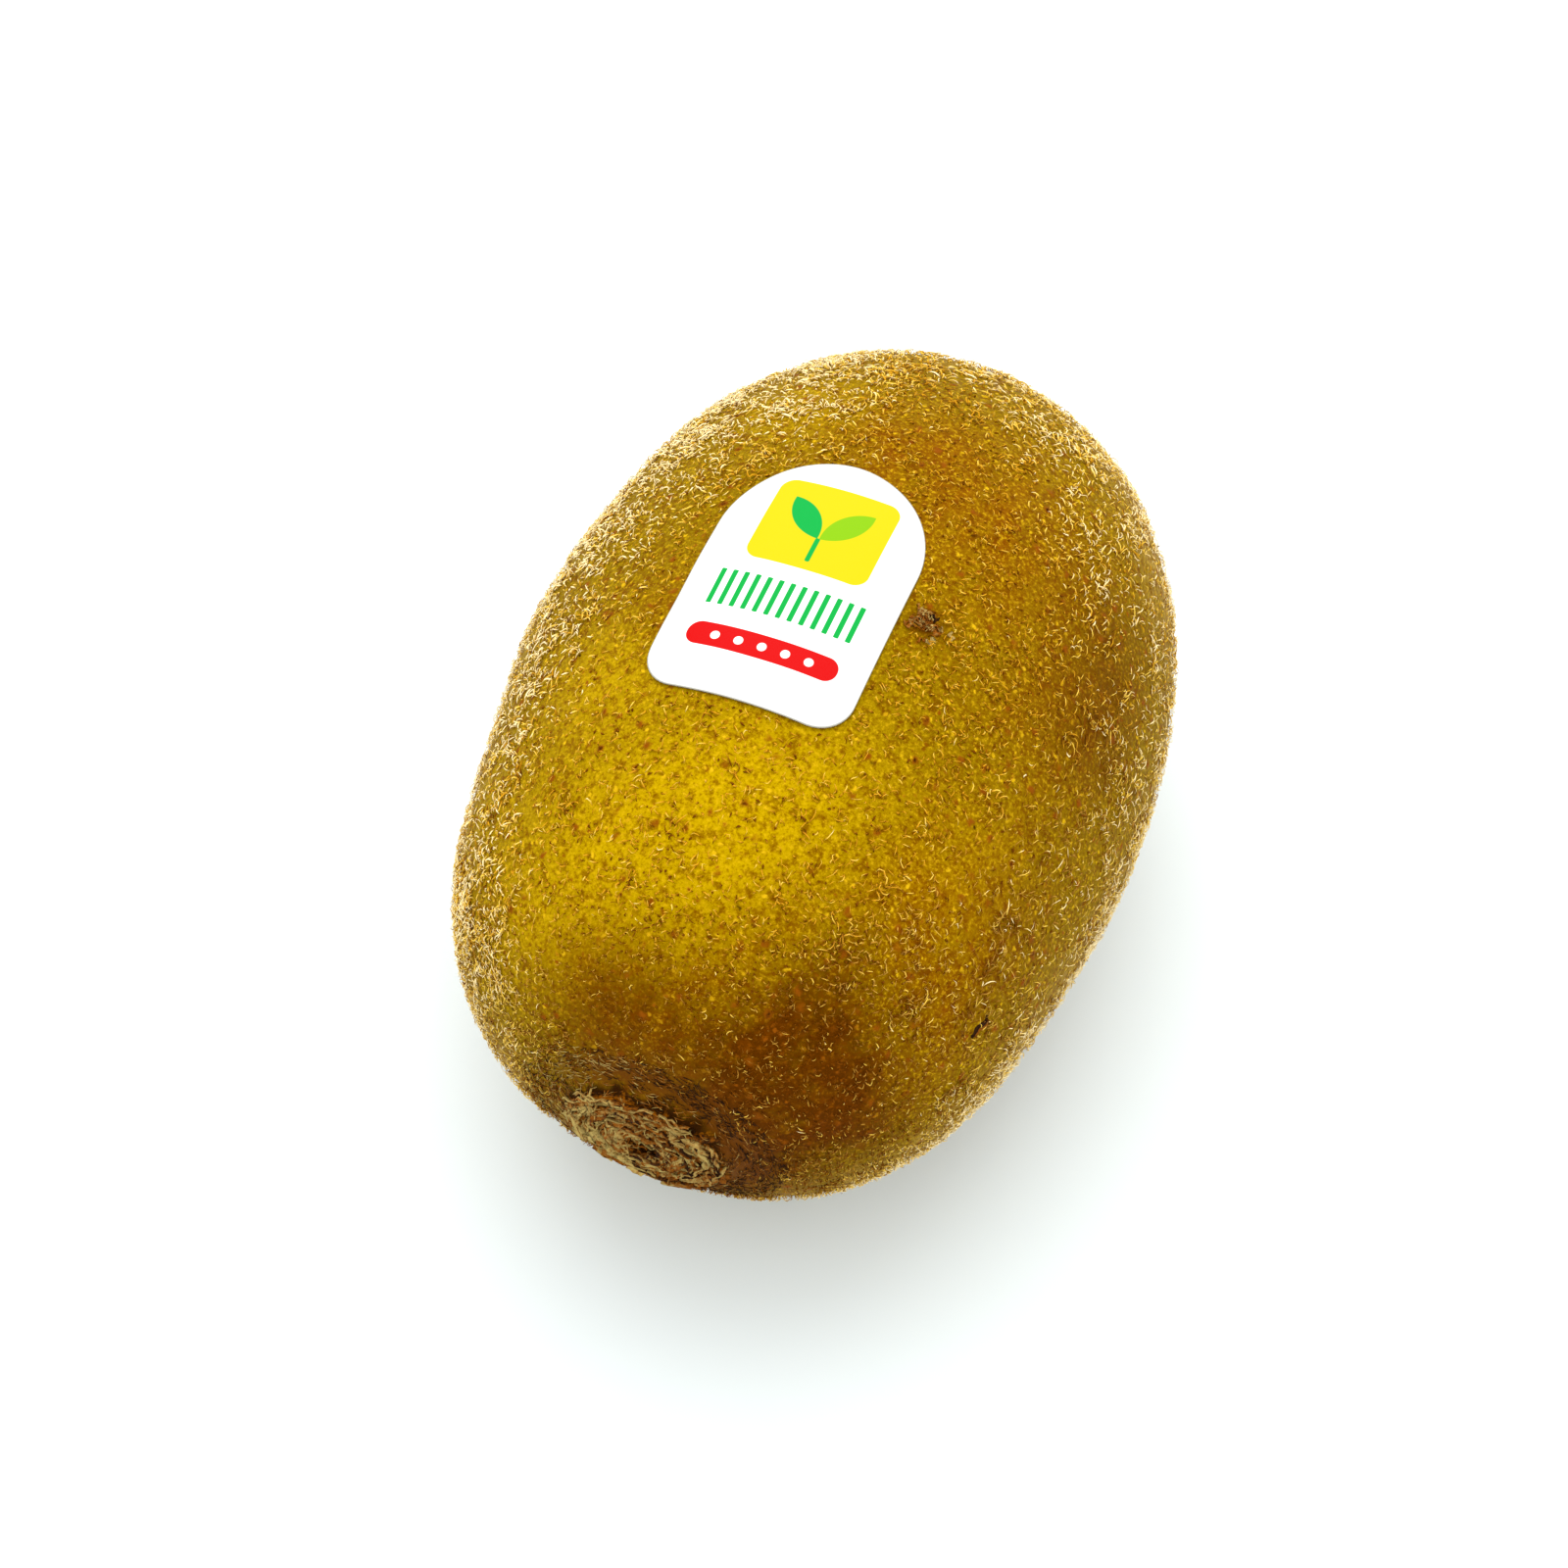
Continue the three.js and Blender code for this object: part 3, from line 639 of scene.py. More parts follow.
    rough = add(tree, "Math", TIMES, {0: grain, 1: zone["cork"]})[0]
    height = mottle["Fac"]
    for raised, share in ((rough, 3.0), (masks["pale"], 0.4), (masks["rust"], 0.8)):
        height = add(tree, "Math", TIMES_PLUS, {0: raised, 1: share, 2: height})[0]
    bump = add(tree, "Bump", {}, {"Strength": 0.7, "Distance": 0.15 * MM, "Height": height})["Normal"]
    return finish_material(material, Base_Color=colour, Roughness=0.55, IOR=1.45, Specular_IOR_Level=0.02,
                           Specular_Tint=look.gloss, Normal=bump)


def hair_material(name, look, roughness):
    """Plant hair, dried on the fruit: dead hollow cells, rust at the root and straw to cream at the tip. It
    gives the eye fine bright lines that catch the light against the skin. The shade attribute runs from
    0, rust, through gold and light gold to 1, cream, and the dry attribute turns gold to tan."""
    material = new_material(name)
    tree = material.node_tree
    shade = add(tree, "Attribute", {"attribute_name": "shade"})["Fac"]
    dry = add(tree, "Attribute", {"attribute_name": "dry"})["Fac"]
    gold = add(tree, "Mix", OVER, {"Factor": dry, 6: look.hair_gold, 7: look.hair_tan})[2]
    colour = graded(tree, shade, look.hair_rust,
                    ((0.05, 0.4, gold), (0.4, 0.7, look.hair_pale), (0.7, 1.0, look.hair_cream)))
    return finish_material(material, Base_Color=colour, Roughness=roughness, IOR=1.5, Specular_IOR_Level=0.0)


def cork_material(name, look):
    """Dead sepal and style tissue, dried and torn: a matt fibrous surface, bark brown in the folds and straw
    on the torn edges. The shade attribute runs from 0, bark, through rust to 1, straw."""
    material = new_material(name)
    tree = material.node_tree
    place = add(tree, "TexCoord")["Object"]
    shade = add(tree, "Attribute", {"attribute_name": "shade"})["Fac"]
    # Fibres lie about 0.35 mm apart.
    fibre = add(tree, "TexNoise", {},
                {"Vector": place, "Scale": 1 / (0.35 * MM), "Detail": 4.0, "Roughness": 0.7})["Fac"]
    mixed = add(tree, "Math", PLUS, {0: shade, 1: fibre})[0]
    colour = graded(tree, mixed, look.bark, ((0.6, 0.9, look.sepal), (0.88, 1.35, look.cork)))
    bump = add(tree, "Bump", {}, {"Strength": 0.9, "Distance": 0.15 * MM, "Height": fibre})["Normal"]
    return finish_material(material, Base_Color=colour, Roughness=0.85, IOR=1.5, Specular_IOR_Level=0.1,
                           Normal=bump)


def sticker_material(label):
    """Printed polyethylene film, satin: white with flat inks and a soft gloss. The print is a plain leaf
    sprig on a yellow panel, a row of even green bars and a red band with dots, drawn from the film's own
    UV map in mm."""
    material = new_material("fruit_sticker_film_printed")
    tree = material.node_tree
    soft = 0.03  # half-width of an ink's edge, in mm
    flat = add(tree, "UVMap", {"uv_map": "flat"})["UV"]
    place = add(tree, "Mapping", {},
                {"Vector": flat, "Scale": (label.width / MM, label.height / MM, 1.0),
                 "Location": (-label.width / MM / 2, -label.height / MM / 2, 0)})["Vector"]

    def block(centre, half, corner, around=place):
        """A rounded rectangle: 1 where the length of the part of |p - centre| past half less corner is under
        corner."""
        shifted = add(tree, "VectorMath", LESS, {0: around, 1: (*centre, 0)})[0]
        folded = add(tree, "VectorMath", FOLDED, {0: shifted})[0]
        past = add(tree, "VectorMath", LESS,
                   {0: folded, 1: (half[0] - corner, half[1] - corner, 0)})[0]
        past = add(tree, "VectorMath", {"operation": "MAXIMUM"}, {0: past, 1: (0, 0, 0)})[0]
        reach = add(tree, "VectorMath", {"operation": "LENGTH"}, {0: past})["Value"]
        return add(tree, "MapRange", SMOOTH,
                   {"Value": reach, "From Min": corner + soft, "From Max": corner - soft})[0]

    def leaf(centre, lean, length, width):
        """A pointed leaf: 1 where the point, turned by the lean and folded on the midrib, lies in the circle
        that passes through both ends and the widest place."""
        radius = (length ** 2 + width ** 2) / (4 * width)
        turned = add(tree, "Mapping", {"vector_type": "TEXTURE"},
                     {"Vector": place, "Location": (*centre, 0), "Rotation": (0, 0, lean)})["Vector"]
        folded = add(tree, "VectorMath", FOLDED, {0: turned})[0]
        moved = add(tree, "VectorMath", PLUS, {0: folded, 1: (radius - width / 2, 0, 0)})[0]
        reach = add(tree, "VectorMath", {"operation": "LENGTH"}, {0: moved})["Value"]
        return add(tree, "MapRange", SMOOTH,
                   {"Value": reach, "From Min": radius + soft, "From Max": radius - soft})[0]

    def repeated(pitch):
        """The place with its first coordinate wrapped to a pitch about 0, so that one motif repeats along a
        row."""
        parts = add(tree, "SeparateXYZ", {}, {0: place})
        wrapped = add(tree, "Math", {"operation": "WRAP"}, {0: parts["X"], 1: pitch / 2, 2: -pitch / 2})[0]
        return add(tree, "CombineXYZ", {}, {0: wrapped, 1: parts["Y"]})[0]

    # Places and half sizes of the print's parts are in mm from the middle of the film.
    bars = add(tree, "Math", TIMES, {0: block((0, -2.6), (0.22, 1.7), 0.1, repeated(0.95)),
                                               1: block((0, -2.6), (6.17, 2), 0.1)})[0]
    dots = add(tree, "Math", TIMES, {0: block((0, -7.1), (0.36, 0.36), 0.35, repeated(1.9)),
                                               1: block((0, -7.1), (4.75, 1), 0.1)})[0]
    colour = label.ground
    for mask, ink in (
            (block((0, 4.9), (5.0, 4.3), 1.2), label.yellow),
            (leaf((-1.7, 5.6), 0.72, 4.9, 2.1), label.green),
            (leaf((1.7, 5.6), -0.72, 4.9, 2.1), label.lime),
            (block((0, 2.6), (0.2, 1.2), 0.15), label.green),
            (bars, label.green),
            (block((0, -7.1), (6.1, 1.05), 1.0), label.red),
            (dots, label.ground)):
        colour = add(tree, "Mix", OVER, {"Factor": mask, 6: colour, 7: ink})[2]
    # A painted shadow line, about 0.1 mm wide, darkens the film along its cut edge.
    rim = add(tree, "Attribute", {"attribute_name": "rim"})["Fac"]
    edge_shadow = add(tree, "MapRange", SMOOTH, {"Value": rim, "From Min": 0.6, "From Max": 1.0, "To Max": 0.7})[0]
    colour = add(tree, "Mix", OVER, {"Factor": edge_shadow, 6: colour, 7: label.edge})[2]
    crinkle = add(tree, "TexNoise", {}, {"Vector": place, "Scale": 0.45, "Detail": 3.0})["Fac"]
    bump = add(tree, "Bump", {}, {"Strength": 0.25, "Distance": 0.1 * MM, "Height": crinkle})["Normal"]
    return finish_material(material, Base_Color=colour, Roughness=0.36, IOR=1.51, Specular_IOR_Level=0.06,
                           Normal=bump)


# ---- Settings that a user would change ----


def length_setting(name, description, default):
    """A length in metres, shown in the scene's unit."""
    return FloatProperty(name=name, description=description, default=default, min=0, precision=5,
                         subtype="DISTANCE", unit="LENGTH")


def angle_setting(name, description, degrees):
    """An angle in radians, shown in degrees."""
    return FloatProperty(name=name, description=description, default=math.radians(degrees),
                         subtype="ANGLE", unit="ROTATION")


def colour_setting(name, description, code):
    """A colour picked by its sRGB hex code."""
    return FloatVectorProperty(name=name, description=description, default=hex_colour(code), size=4,
                               min=0, max=1, subtype="COLOR")


class KiwiBodySettings(bpy.types.PropertyGroup):
    """Sizes and fineness of the fruit's body."""
    length: length_setting("Length", "Length of the body without its styles", 77.6 * MM)
    width: length_setting("Width", "Full width of the body", 54 * MM)
    height: length_setting("Height", "Full height before it is flattened where it rests", 48.4 * MM)
    relief: length_setting("Unevenness", "Height of the skin's own lumps", 0.16 * MM)
    around: IntProperty(name="Around", description="Points round the body", default=300, min=24)
    seed: IntProperty(name="Seed", description="Start of every random draw on the skin", default=11, min=0)


class KiwiColourSettings(bpy.types.PropertyGroup):
    """Colours of the skin, the cork and the hairs."""
    olive: colour_setting("Olive", "Ground of the skin", "#7c6302")
    gold: colour_setting("Gold", "Ripe patches of the skin", "#ae8e00")
    tan: colour_setting("Tan", "Browner patches of the skin", "#7c4b00")
    shade: colour_setting("Shade", "Fine darker flecks of the skin", "#602d00")
    russet: colour_setting("Russet", "Russet patches by the stem", "#4a2400")
    sepal: colour_setting("Sepal", "Torn tissue", "#8c4e06")
    rust: colour_setting("Rust", "Rusty pores", "#7e4206")
    bark: colour_setting("Bark", "Dark pores and folds", "#2c1503")
    straw: colour_setting("Straw", "Pale pores", "#c8a010")
    felt: colour_setting("Felt", "Mat of flat hairs on the flanks", "#b8984a")
    halo: colour_setting("Halo", "Dark ring round the stem scar", "#5c3208")
    cork: colour_setting("Cork", "Torn edges of dry tissue", "#baa05a")
    gloss: colour_setting("Gloss", "Tint of the skin's gloss", "#ffb400")
    hair_rust: colour_setting("Hair rust", "Darkest hairs", "#6e3c08")
    hair_gold: colour_setting("Hair gold", "Golden hairs", "#c8901a")
    hair_tan: colour_setting("Hair tan", "Golden hairs that have faded", "#ac7e30")
    hair_pale: colour_setting("Hair pale", "Light golden hairs and their tips", "#e8c24c")
    hair_cream: colour_setting("Hair cream", "Palest hairs", "#fae6b0")


class KiwiFuzzSettings(bpy.types.PropertyGroup):
    """Numbers and sizes of the hairs."""
    curled: IntProperty(name="Curled hairs", description="Curled hairs in tufts", default=13000, min=0)
    fine: IntProperty(name="Fine hairs", description="Thin hairs that stand off the skin",
                      default=9000, min=0)
    hooked: IntProperty(name="Hooked hairs", description="Short hairs bent over at the tip",
                        default=26000, min=0)
    grains: IntProperty(name="Grains", description="Broken hairs and raised pores", default=8000, min=0)
    radius: length_setting("Radius", "Radius of a curled hair, coarser than life so that it shows",
                           0.084 * MM)
    seed: IntProperty(name="Seed", description="Start of every random draw of the hairs", default=23, min=0)


class KiwiEndSettings(bpy.types.PropertyGroup):
    """The dried tissue at both ends."""
    flakes: IntProperty(name="Flakes", description="Torn flakes on the stem scar", default=330, min=0)
    fibres: IntProperty(name="Fibres", description="Loose fibres round the stem scar", default=2600, min=0)
    styles: IntProperty(name="Styles", description="Dried styles at the blossom end", default=32, min=0)
    style_length: length_setting("Style length", "Mean length of a dried style", 2.0 * MM)
    seed: IntProperty(name="Seed", description="Start of every random draw at the ends", default=5, min=0)


class KiwiStickerSettings(bpy.types.PropertyGroup):
    """Sizes, place and inks of the sticker."""
    width: length_setting("Width", "Width of the sticker", 16.6 * MM)
    height: length_setting("Height", "Height of the sticker", 23.8 * MM)
    corner: length_setting("Corner", "Radius of its lower corners", 2.8 * MM)
    thickness: length_setting("Thickness", "Thickness of the film with its glue", 0.12 * MM)
    x: length_setting("Aside", "Its centre, across the fruit from the middle", -2.3 * MM)
    y: length_setting("Along", "Its centre, along the fruit from the middle", -1.3 * MM)
    turn: angle_setting("Turn", "How far it is turned on the fruit", -1.5)
    ground: colour_setting("Ground", "White film", "#fafbf8")
    yellow: colour_setting("Yellow", "Ink of the panel", "#c0b200")
    green: colour_setting("Green", "Ink of the darker leaf and the bars", "#00963a")
    lime: colour_setting("Lime", "Ink of the lighter leaf", "#76a800")
    red: colour_setting("Red", "Ink of the band", "#b80000")
    # The edge colour paints a shadow line along the film's cut edge.
    edge: colour_setting("Edge", "Cut edge of the film", "#5a5220")


class KiwiStageSettings(bpy.types.PropertyGroup):
    """Camera, lights and floor."""
    azimuth: angle_setting("Azimuth", "Camera's angle round the fruit", 21.8)
    elevation: angle_setting("Elevation", "Camera's angle above the floor", 57)
    distance: length_setting("Distance", "From the camera to what it looks at", 204.6 * MM)
    aim: FloatVectorProperty(name="Aim", description="Point that the camera looks at",
                             default=(-2.57 * MM, -4.19 * MM, 21.76 * MM), subtype="XYZ", unit="LENGTH")
    view_angle: angle_setting("View angle", "Camera's field of view", 36)
    key: FloatProperty(name="Key light", description="Power of the soft light",
                       default=3.6, min=0, unit="POWER")
    fill: FloatProperty(name="Fill", description="Strength of the white surroundings", default=1.55, min=0)
    floor: colour_setting("Floor", "Colour of the floor", "#d5dcdc")


# ---- Skin ----


def sheltered(normals):
    """How far the skin faces sideways or down, where its fuzz isn't rubbed off, from 0 to 1. On the +X side
    it reaches higher towards the blossom end, by the product of two ramps."""
    shoulder = facing(normals, SHOULDER) * facing(normals, SHOULDER_END) * (normals[..., 0] > 0)
    return np.maximum(facing(normals, SHELTERED), shoulder)


def oval_normals(form, points):
    """Unit normals at points of an ellipsoid of the fruit's size."""
    return unit(points / np.array([form.width, form.length, form.height]) ** 2)


def skin_zones(form, points):
    """Weights of the skin's colour zones at points, mostly from 0 to 1. Russet runs in streaks along the
    fruit, which are lumps drawn out along Y, the edges of the scar and its halo are ragged, and felt lies
    in drifts."""
    distance = np.hypot(points[..., 0], points[..., 2])
    turn = np.arctan2(points[..., 2], points[..., 0])
    at_stem = points[..., 1] < STEM_REGION - form.length / 2
    at_tip = points[..., 1] > form.length / 2 - TIP_REGION
    ragged = distance + layered(points, RAGGED_LAYERS, form.seed + RAGGED_SEED)
    streaks = layered(points * DRAWN_OUT, STREAK_LAYERS, form.seed + STREAK_SEED)
    cork = at_stem * (1 - ramp(ragged, SCAR_RADIUS - CORK_SOFT, SCAR_RADIUS + CORK_SOFT))
    stem_halo = STEM_HALO * at_stem * bell(ragged - MOAT_RADIUS, STEM_HALO_REACH)
    stem_halo = stem_halo * (1 - STEM_HALO_LOST * ramp(-points[..., 0], *STEM_HALO_LEFT))
    tip_halo = TIP_HALO * at_tip * (1 - ramp(ragged, *TIP_HALO_FADE))
    drifts = layered(points, FELT_LAYERS, form.seed + DRIFT_SEED)
    # The crest is the scar's relief, which the skin's material uses to paint shade into its grooves and pit.
    crest = np.maximum(CREST_SHARE * (scar_height(distance, turn) - SCAR_RISE) / RIDGE_HEIGHT, CREST_LEAST)
    return {
        "ripe": patch(points, RIPE_SPOTS),
        "tan": patch(points, TAN_SPOTS) * (1 + TAN_STREAKS * streaks),
        "russet": patch(points, RUSSET_SPOTS) * (RUSSET_EVEN + RUSSET_STREAKS * streaks),
        "halo": np.maximum(stem_halo, tip_halo) * (1 - cork),
        "cork": cork,
        "crest": crest + layered(points, CREST_LAYERS, form.seed),
        "felt": sheltered(oval_normals(form, points)) * np.clip(FELT_EVEN + drifts, 0, 1) * (1 - cork),
    }


def build_skin(sizes, look):
    """The skin: rings along the arc, close together over the stem scar and the blossom end, times even
    turns, with a point and a fan of triangles at each end."""
    form = FruitForm(sizes)
    arcs = np.concatenate([
        np.linspace(POLE_GAP, STEM_ARC, STEM_RINGS, endpoint=False),
        np.linspace(STEM_ARC, form.end_arc - TIP_ARC, FLANK_RINGS, endpoint=False),
        np.linspace(form.end_arc - TIP_ARC, form.end_arc - POLE_GAP, TIP_RINGS)])
    arc, turn = np.meshgrid(arcs, 2 * np.pi * np.arange(sizes.around) / sizes.around, indexing="ij")
    rings = form.surface(arc, turn).reshape(-1, 3)
    points = np.concatenate([rings, form.surface(np.array([0, form.end_arc]), np.zeros(2))])
    # Turns run from +X to +Z, clockwise as seen from the blossom end, so the rings are walked backwards.
    quads = grid_faces(len(arcs), sizes.around)[:, ::-1]
    first_ring = np.arange(sizes.around)
    stem_fan = fan_faces(len(rings), first_ring)
    tip_fan = fan_faces(len(rings) + 1, len(rings) - sizes.around + first_ring)[:, ::-1]
    fans = np.concatenate([stem_fan, tip_fan])
    add_piece("fruit_skin", points, [quads, fans], skin_material(look), form,
              skin_zones(form, points), ["fruit"])


# ---- Sticker ----


def sticker_outline(label, count):
    """Evenly spaced points of the outline: a half circle above straight sides, with quarter circles at the
    lower corners, resampled by length."""
    half, low = label.width / 2, -label.height / 2
    arch_y, corner = label.height / 2 - half, label.corner
    arch, quarter = np.linspace(0, np.pi, 200), np.linspace(0, np.pi / 2, 60)
    dense = np.concatenate([
        np.stack([half * np.cos(arch), arch_y + half * np.sin(arch)], axis=-1),
        np.stack([corner - half - corner * np.cos(quarter),
                  low + corner - corner * np.sin(quarter)], axis=-1),
        np.stack([half - corner + corner * np.sin(quarter),
                  low + corner - corner * np.cos(quarter)], axis=-1),
        [[half, arch_y]]])
    length = np.concatenate([[0], np.cumsum(np.linalg.norm(np.diff(dense, axis=0), axis=-1))])
    even = np.linspace(0, length[-1], count, endpoint=False)
    return np.stack([np.interp(even, length, dense[:, 0]), np.interp(even, length, dense[:, 1])], axis=-1)


def build_sticker(sizes, label):
    """The film: the outline shrunk in even rings to its middle, turned, moved to its place in plan and laid
    on the upper skin, with an upper face, a lower face and an edge between them."""
    form = FruitForm(sizes)
    outline = sticker_outline(label, FILM_SIDES)
    scale = np.arange(1, FILM_RINGS + 1)[:, None, None] / FILM_RINGS
    flat = np.concatenate([[[0, 0]], (scale * outline).reshape(-1, 2)])
    cos, sin = math.cos(label.turn), math.sin(label.turn)
    x = label.x + flat[:, 0] * cos - flat[:, 1] * sin
    y = label.y + flat[:, 0] * sin + flat[:, 1] * cos
    place = form.over(x, y)
    base, outwards = form.body(*place), form.directions(*place)[2]
    level = np.append(flat, 0 * flat[:, :1], axis=1)
    crinkle = FILM_CRINKLE * (1 + layered(level, CRINKLE_LAYERS, sizes.seed + CRINKLE_SEED))
    gap = FILM_GAP + crinkle[:, None]
    points = np.concatenate([base + outwards * (gap + label.thickness), base + outwards * gap])
    below = len(base)
    quads = grid_faces(FILM_RINGS, FILM_SIDES) + 1
    fan = fan_faces(0, 1 + np.arange(FILM_SIDES))
    rim = below - FILM_SIDES + np.arange(FILM_SIDES)
    edge = np.stack([rim, rim + below, np.roll(rim, -1) + below, np.roll(rim, -1)], axis=-1)
    faces = [np.concatenate([quads[:, ::-1], quads + below, edge]),
             np.concatenate([fan, fan[:, ::-1] + below])]
    ring = np.append(0, np.repeat(np.arange(1, FILM_RINGS + 1), FILM_SIDES)) == FILM_RINGS
    piece = add_piece("sticker_film", points, faces, sticker_material(label), form,
                      {"rim": np.tile(ring.astype(float), 2)}, ["sticker"])
    layer = piece.data.uv_layers.new(name="flat")
    share = np.tile(flat / (label.width, label.height) + 0.5, (2, 1))
    corner = np.empty(len(piece.data.loops), np.int32)
    piece.data.loops.foreach_get("vertex_index", corner)
    layer.data.foreach_set("uv", share[corner].astype(np.float32).ravel())


def off_sticker(points, label, margin):
    """True where points are off the sticker by more than a margin."""
    cos, sin = math.cos(label.turn), math.sin(label.turn)
    x, y = points[..., 0] - label.x, points[..., 1] - label.y
    across, up = np.abs(x * cos + y * sin), y * cos - x * sin
    arch_y = label.height / 2 - label.width / 2
    reach = np.where(up > arch_y, np.hypot(across, up - arch_y), across)
    covered = (reach < label.width / 2 + margin) & (up > -label.height / 2 - margin) & (points[..., 2] > 0)
    return ~covered


# ---- Hairs ----


def fuzz_density(form, label, kind):
    """A density for scatter(): a kind's share on the rubbed upper face, and full where the skin faces a
    flank, the blossom end, the floor or the stem. A kind that gathers follows drifts of about 4 mm. Hairs
    stand closer on the stem half and in tufted patches, are partly gone from russet and ripe ones, thin
    out by the scar, and keep off the sticker."""
    def density(points):
        normals = oval_normals(form, points)
        fuzzy = np.maximum(facing(normals, FUZZY), patch(points, TUFTED_SPOTS))
        drift = np.clip(DRIFT_MEAN + layered(points, DRIFT_LAYERS, form.seed + DRIFT_SEED), DRIFT_LEAST, 1)
        chance = (kind.bare + (1 - kind.bare) * fuzzy) * (1 - RUSSET_RUBBED * patch(points, RUSSET_SPOTS))
        chance = chance * (kind.gathered * drift + EVEN_CHANCE * (1 - kind.gathered))
        chance = chance * (UPPER_CHANCE + STEM_CHANCE * ramp(-points[:, 1], *STEM_HALF)
                           + TUFTED_CHANCE * patch(points, TUFTED_SPOTS))
        chance = chance * (1 - RIPE_RUBBED * patch(points, RIPE_SPOTS))
        by_scar = ramp(np.hypot(points[:, 0], points[:, 2]), SCAR_RADIUS, SCAR_CLEAR * SCAR_RADIUS)
        return chance * np.where(points[:, 1] < SCAR_Y, by_scar, 1) * off_sticker(points, label, ROOT_CLEAR)
    return density


def hair_paths(form, arc, turn, kind, draw):
    """Paths of hairs of one kind and their outward normals. Each runs over the skin at a heading that turns
    from root to tip, and rises off it as the first three quarters of a half wave. Near the stem end most
    are shorter and lie round the axis, and on both flanks most lie along the fruit."""
    count = len(arc)
    base = form.surface(arc, turn)
    round_axis, along, outwards = form.directions(arc, turn)
    length = kind.length * draw.uniform(*SPREAD_OF_LENGTH, count)
    free = draw.uniform(-np.pi, np.pi, count)
    kept = draw.normal(0, ROUND_SPREAD, count) + np.pi * draw.integers(0, 2, count)
    by_stem = ramp(-base[:, 1], *BY_STEM) * (1 - ramp(-outwards[:, 0], *BY_STEM_CLEAR))
    heading = np.where(draw.uniform(0, 1, count) < ROUND_SHARE * by_stem, kept, free)
    combed = facing(outwards, COMBED) * (1 - by_stem)
    heading = np.where(draw.uniform(0, 1, count) < combed, kept + np.pi / 2, heading)
    length = length * (1 - ROUND_SHORTER * by_stem)
    bend, hook = kind.bend * draw.normal(0, (1, SECOND_BEND), (count, 2)).T
    t = np.linspace(0, 1, kind.places)
    middle = (t[1:] + t[:-1]) / 2
    angle = heading[:, None] + bend[:, None] * middle + hook[:, None] * middle ** 2
    step = length[:, None] / (kind.places - 1)
    across = np.pad(np.cumsum(np.cos(angle) * step, axis=1), ((0, 0), (1, 0)))
    onward = np.pad(np.cumsum(np.sin(angle) * step, axis=1), ((0, 0), (1, 0)))
    rise = kind.rise * draw.uniform(*SPREAD_OF_RISE, count)
    lift = rise[:, None] * np.sin(RISE_WAVE * np.pi * t) - ROOTED * (t == 0)
    paths = (base[:, None] + across[..., None] * round_axis[:, None] + onward[..., None] * along[:, None]
             + lift[..., None] * outwards[:, None])
    return paths, outwards


def hair_shade(points, outwards, draw):
    """How pale a hair is, from 0, rust, to 1, cream: a base, more as painted light and sheen where the skin
    faces the lamp's side, a flank, the blossom end or down, more in tufted patches, less by the stem and on
    russet, and a draw that spreads most on the flanks. Dull places cap it."""
    x = outwards[:, 0]
    low = sheltered(outwards)
    # Painted light and sheen: hairs are painted paler on the lamp's side, on the flanks and where the skin
    # faces down; tufted patches are really paler.
    painted_light_and_tufts = np.max([facing(outwards, PAINTED_LIGHT_WAYS), low * (1 - facing(outwards, LEFT_OF_STEM) * (x < 0)),
                  patch(points, TUFTED_SPOTS)], axis=0)
    by_stem = facing(outwards, TO_STEM) * (1 - facing(outwards, TO_LEFT)) * (1 - low)
    dull = np.maximum(by_stem, patch(points, RUSSET_SPOTS))
    spread = SPREAD_BASE + SPREAD_PAINTED_LIGHT_AND_TUFTS * painted_light_and_tufts + SPREAD_DULL * dull + SPREAD_SIDE * ramp(np.abs(x), *TO_SIDES)
    shade = SHADE_BASE + SHADE_PAINTED_LIGHT_AND_TUFTS * painted_light_and_tufts - SHADE_DULL * dull + draw.normal(0, spread)
    return np.minimum(shade, 1 - DULL_CAP * dull)


def add_hairs(name, form, paths, outwards, radius, shade, material, draw):
    """A piece of hairs, each with a draw of its own thickness, slimmer by the stem and on the flanks,
    thinner and paler from root to tip, and kept just above the floor. Its dry attribute says how far gold
    has faded to tan, which is fully by the stem and on its +X side."""
    hairs, places = paths.shape[:2]
    radii = radius * draw.uniform(*SPREAD_OF_RADIUS, hairs) * (1 - facing(outwards, SLIMMER))
    radii = radii[:, None] * np.linspace(1, TIP_THICKNESS, places - 2)
    points, faces = spindles(paths, radii, outwards)
    points[..., 2] = np.maximum(points[..., 2], LOWEST - form.middle[2])
    along = np.concatenate([[0], np.repeat(np.arange(1, places - 1), 3), [places - 1]]) / (places - 1)
    shades = np.clip(shade[:, None] + TIP_PALER * (along - 0.5), 0, 1)
    dry = np.repeat(facing(outwards, FADED)[:, None], points.shape[1], axis=1)
    add_piece(name, points, [faces], material, form, {"shade": shades, "dry": dry})


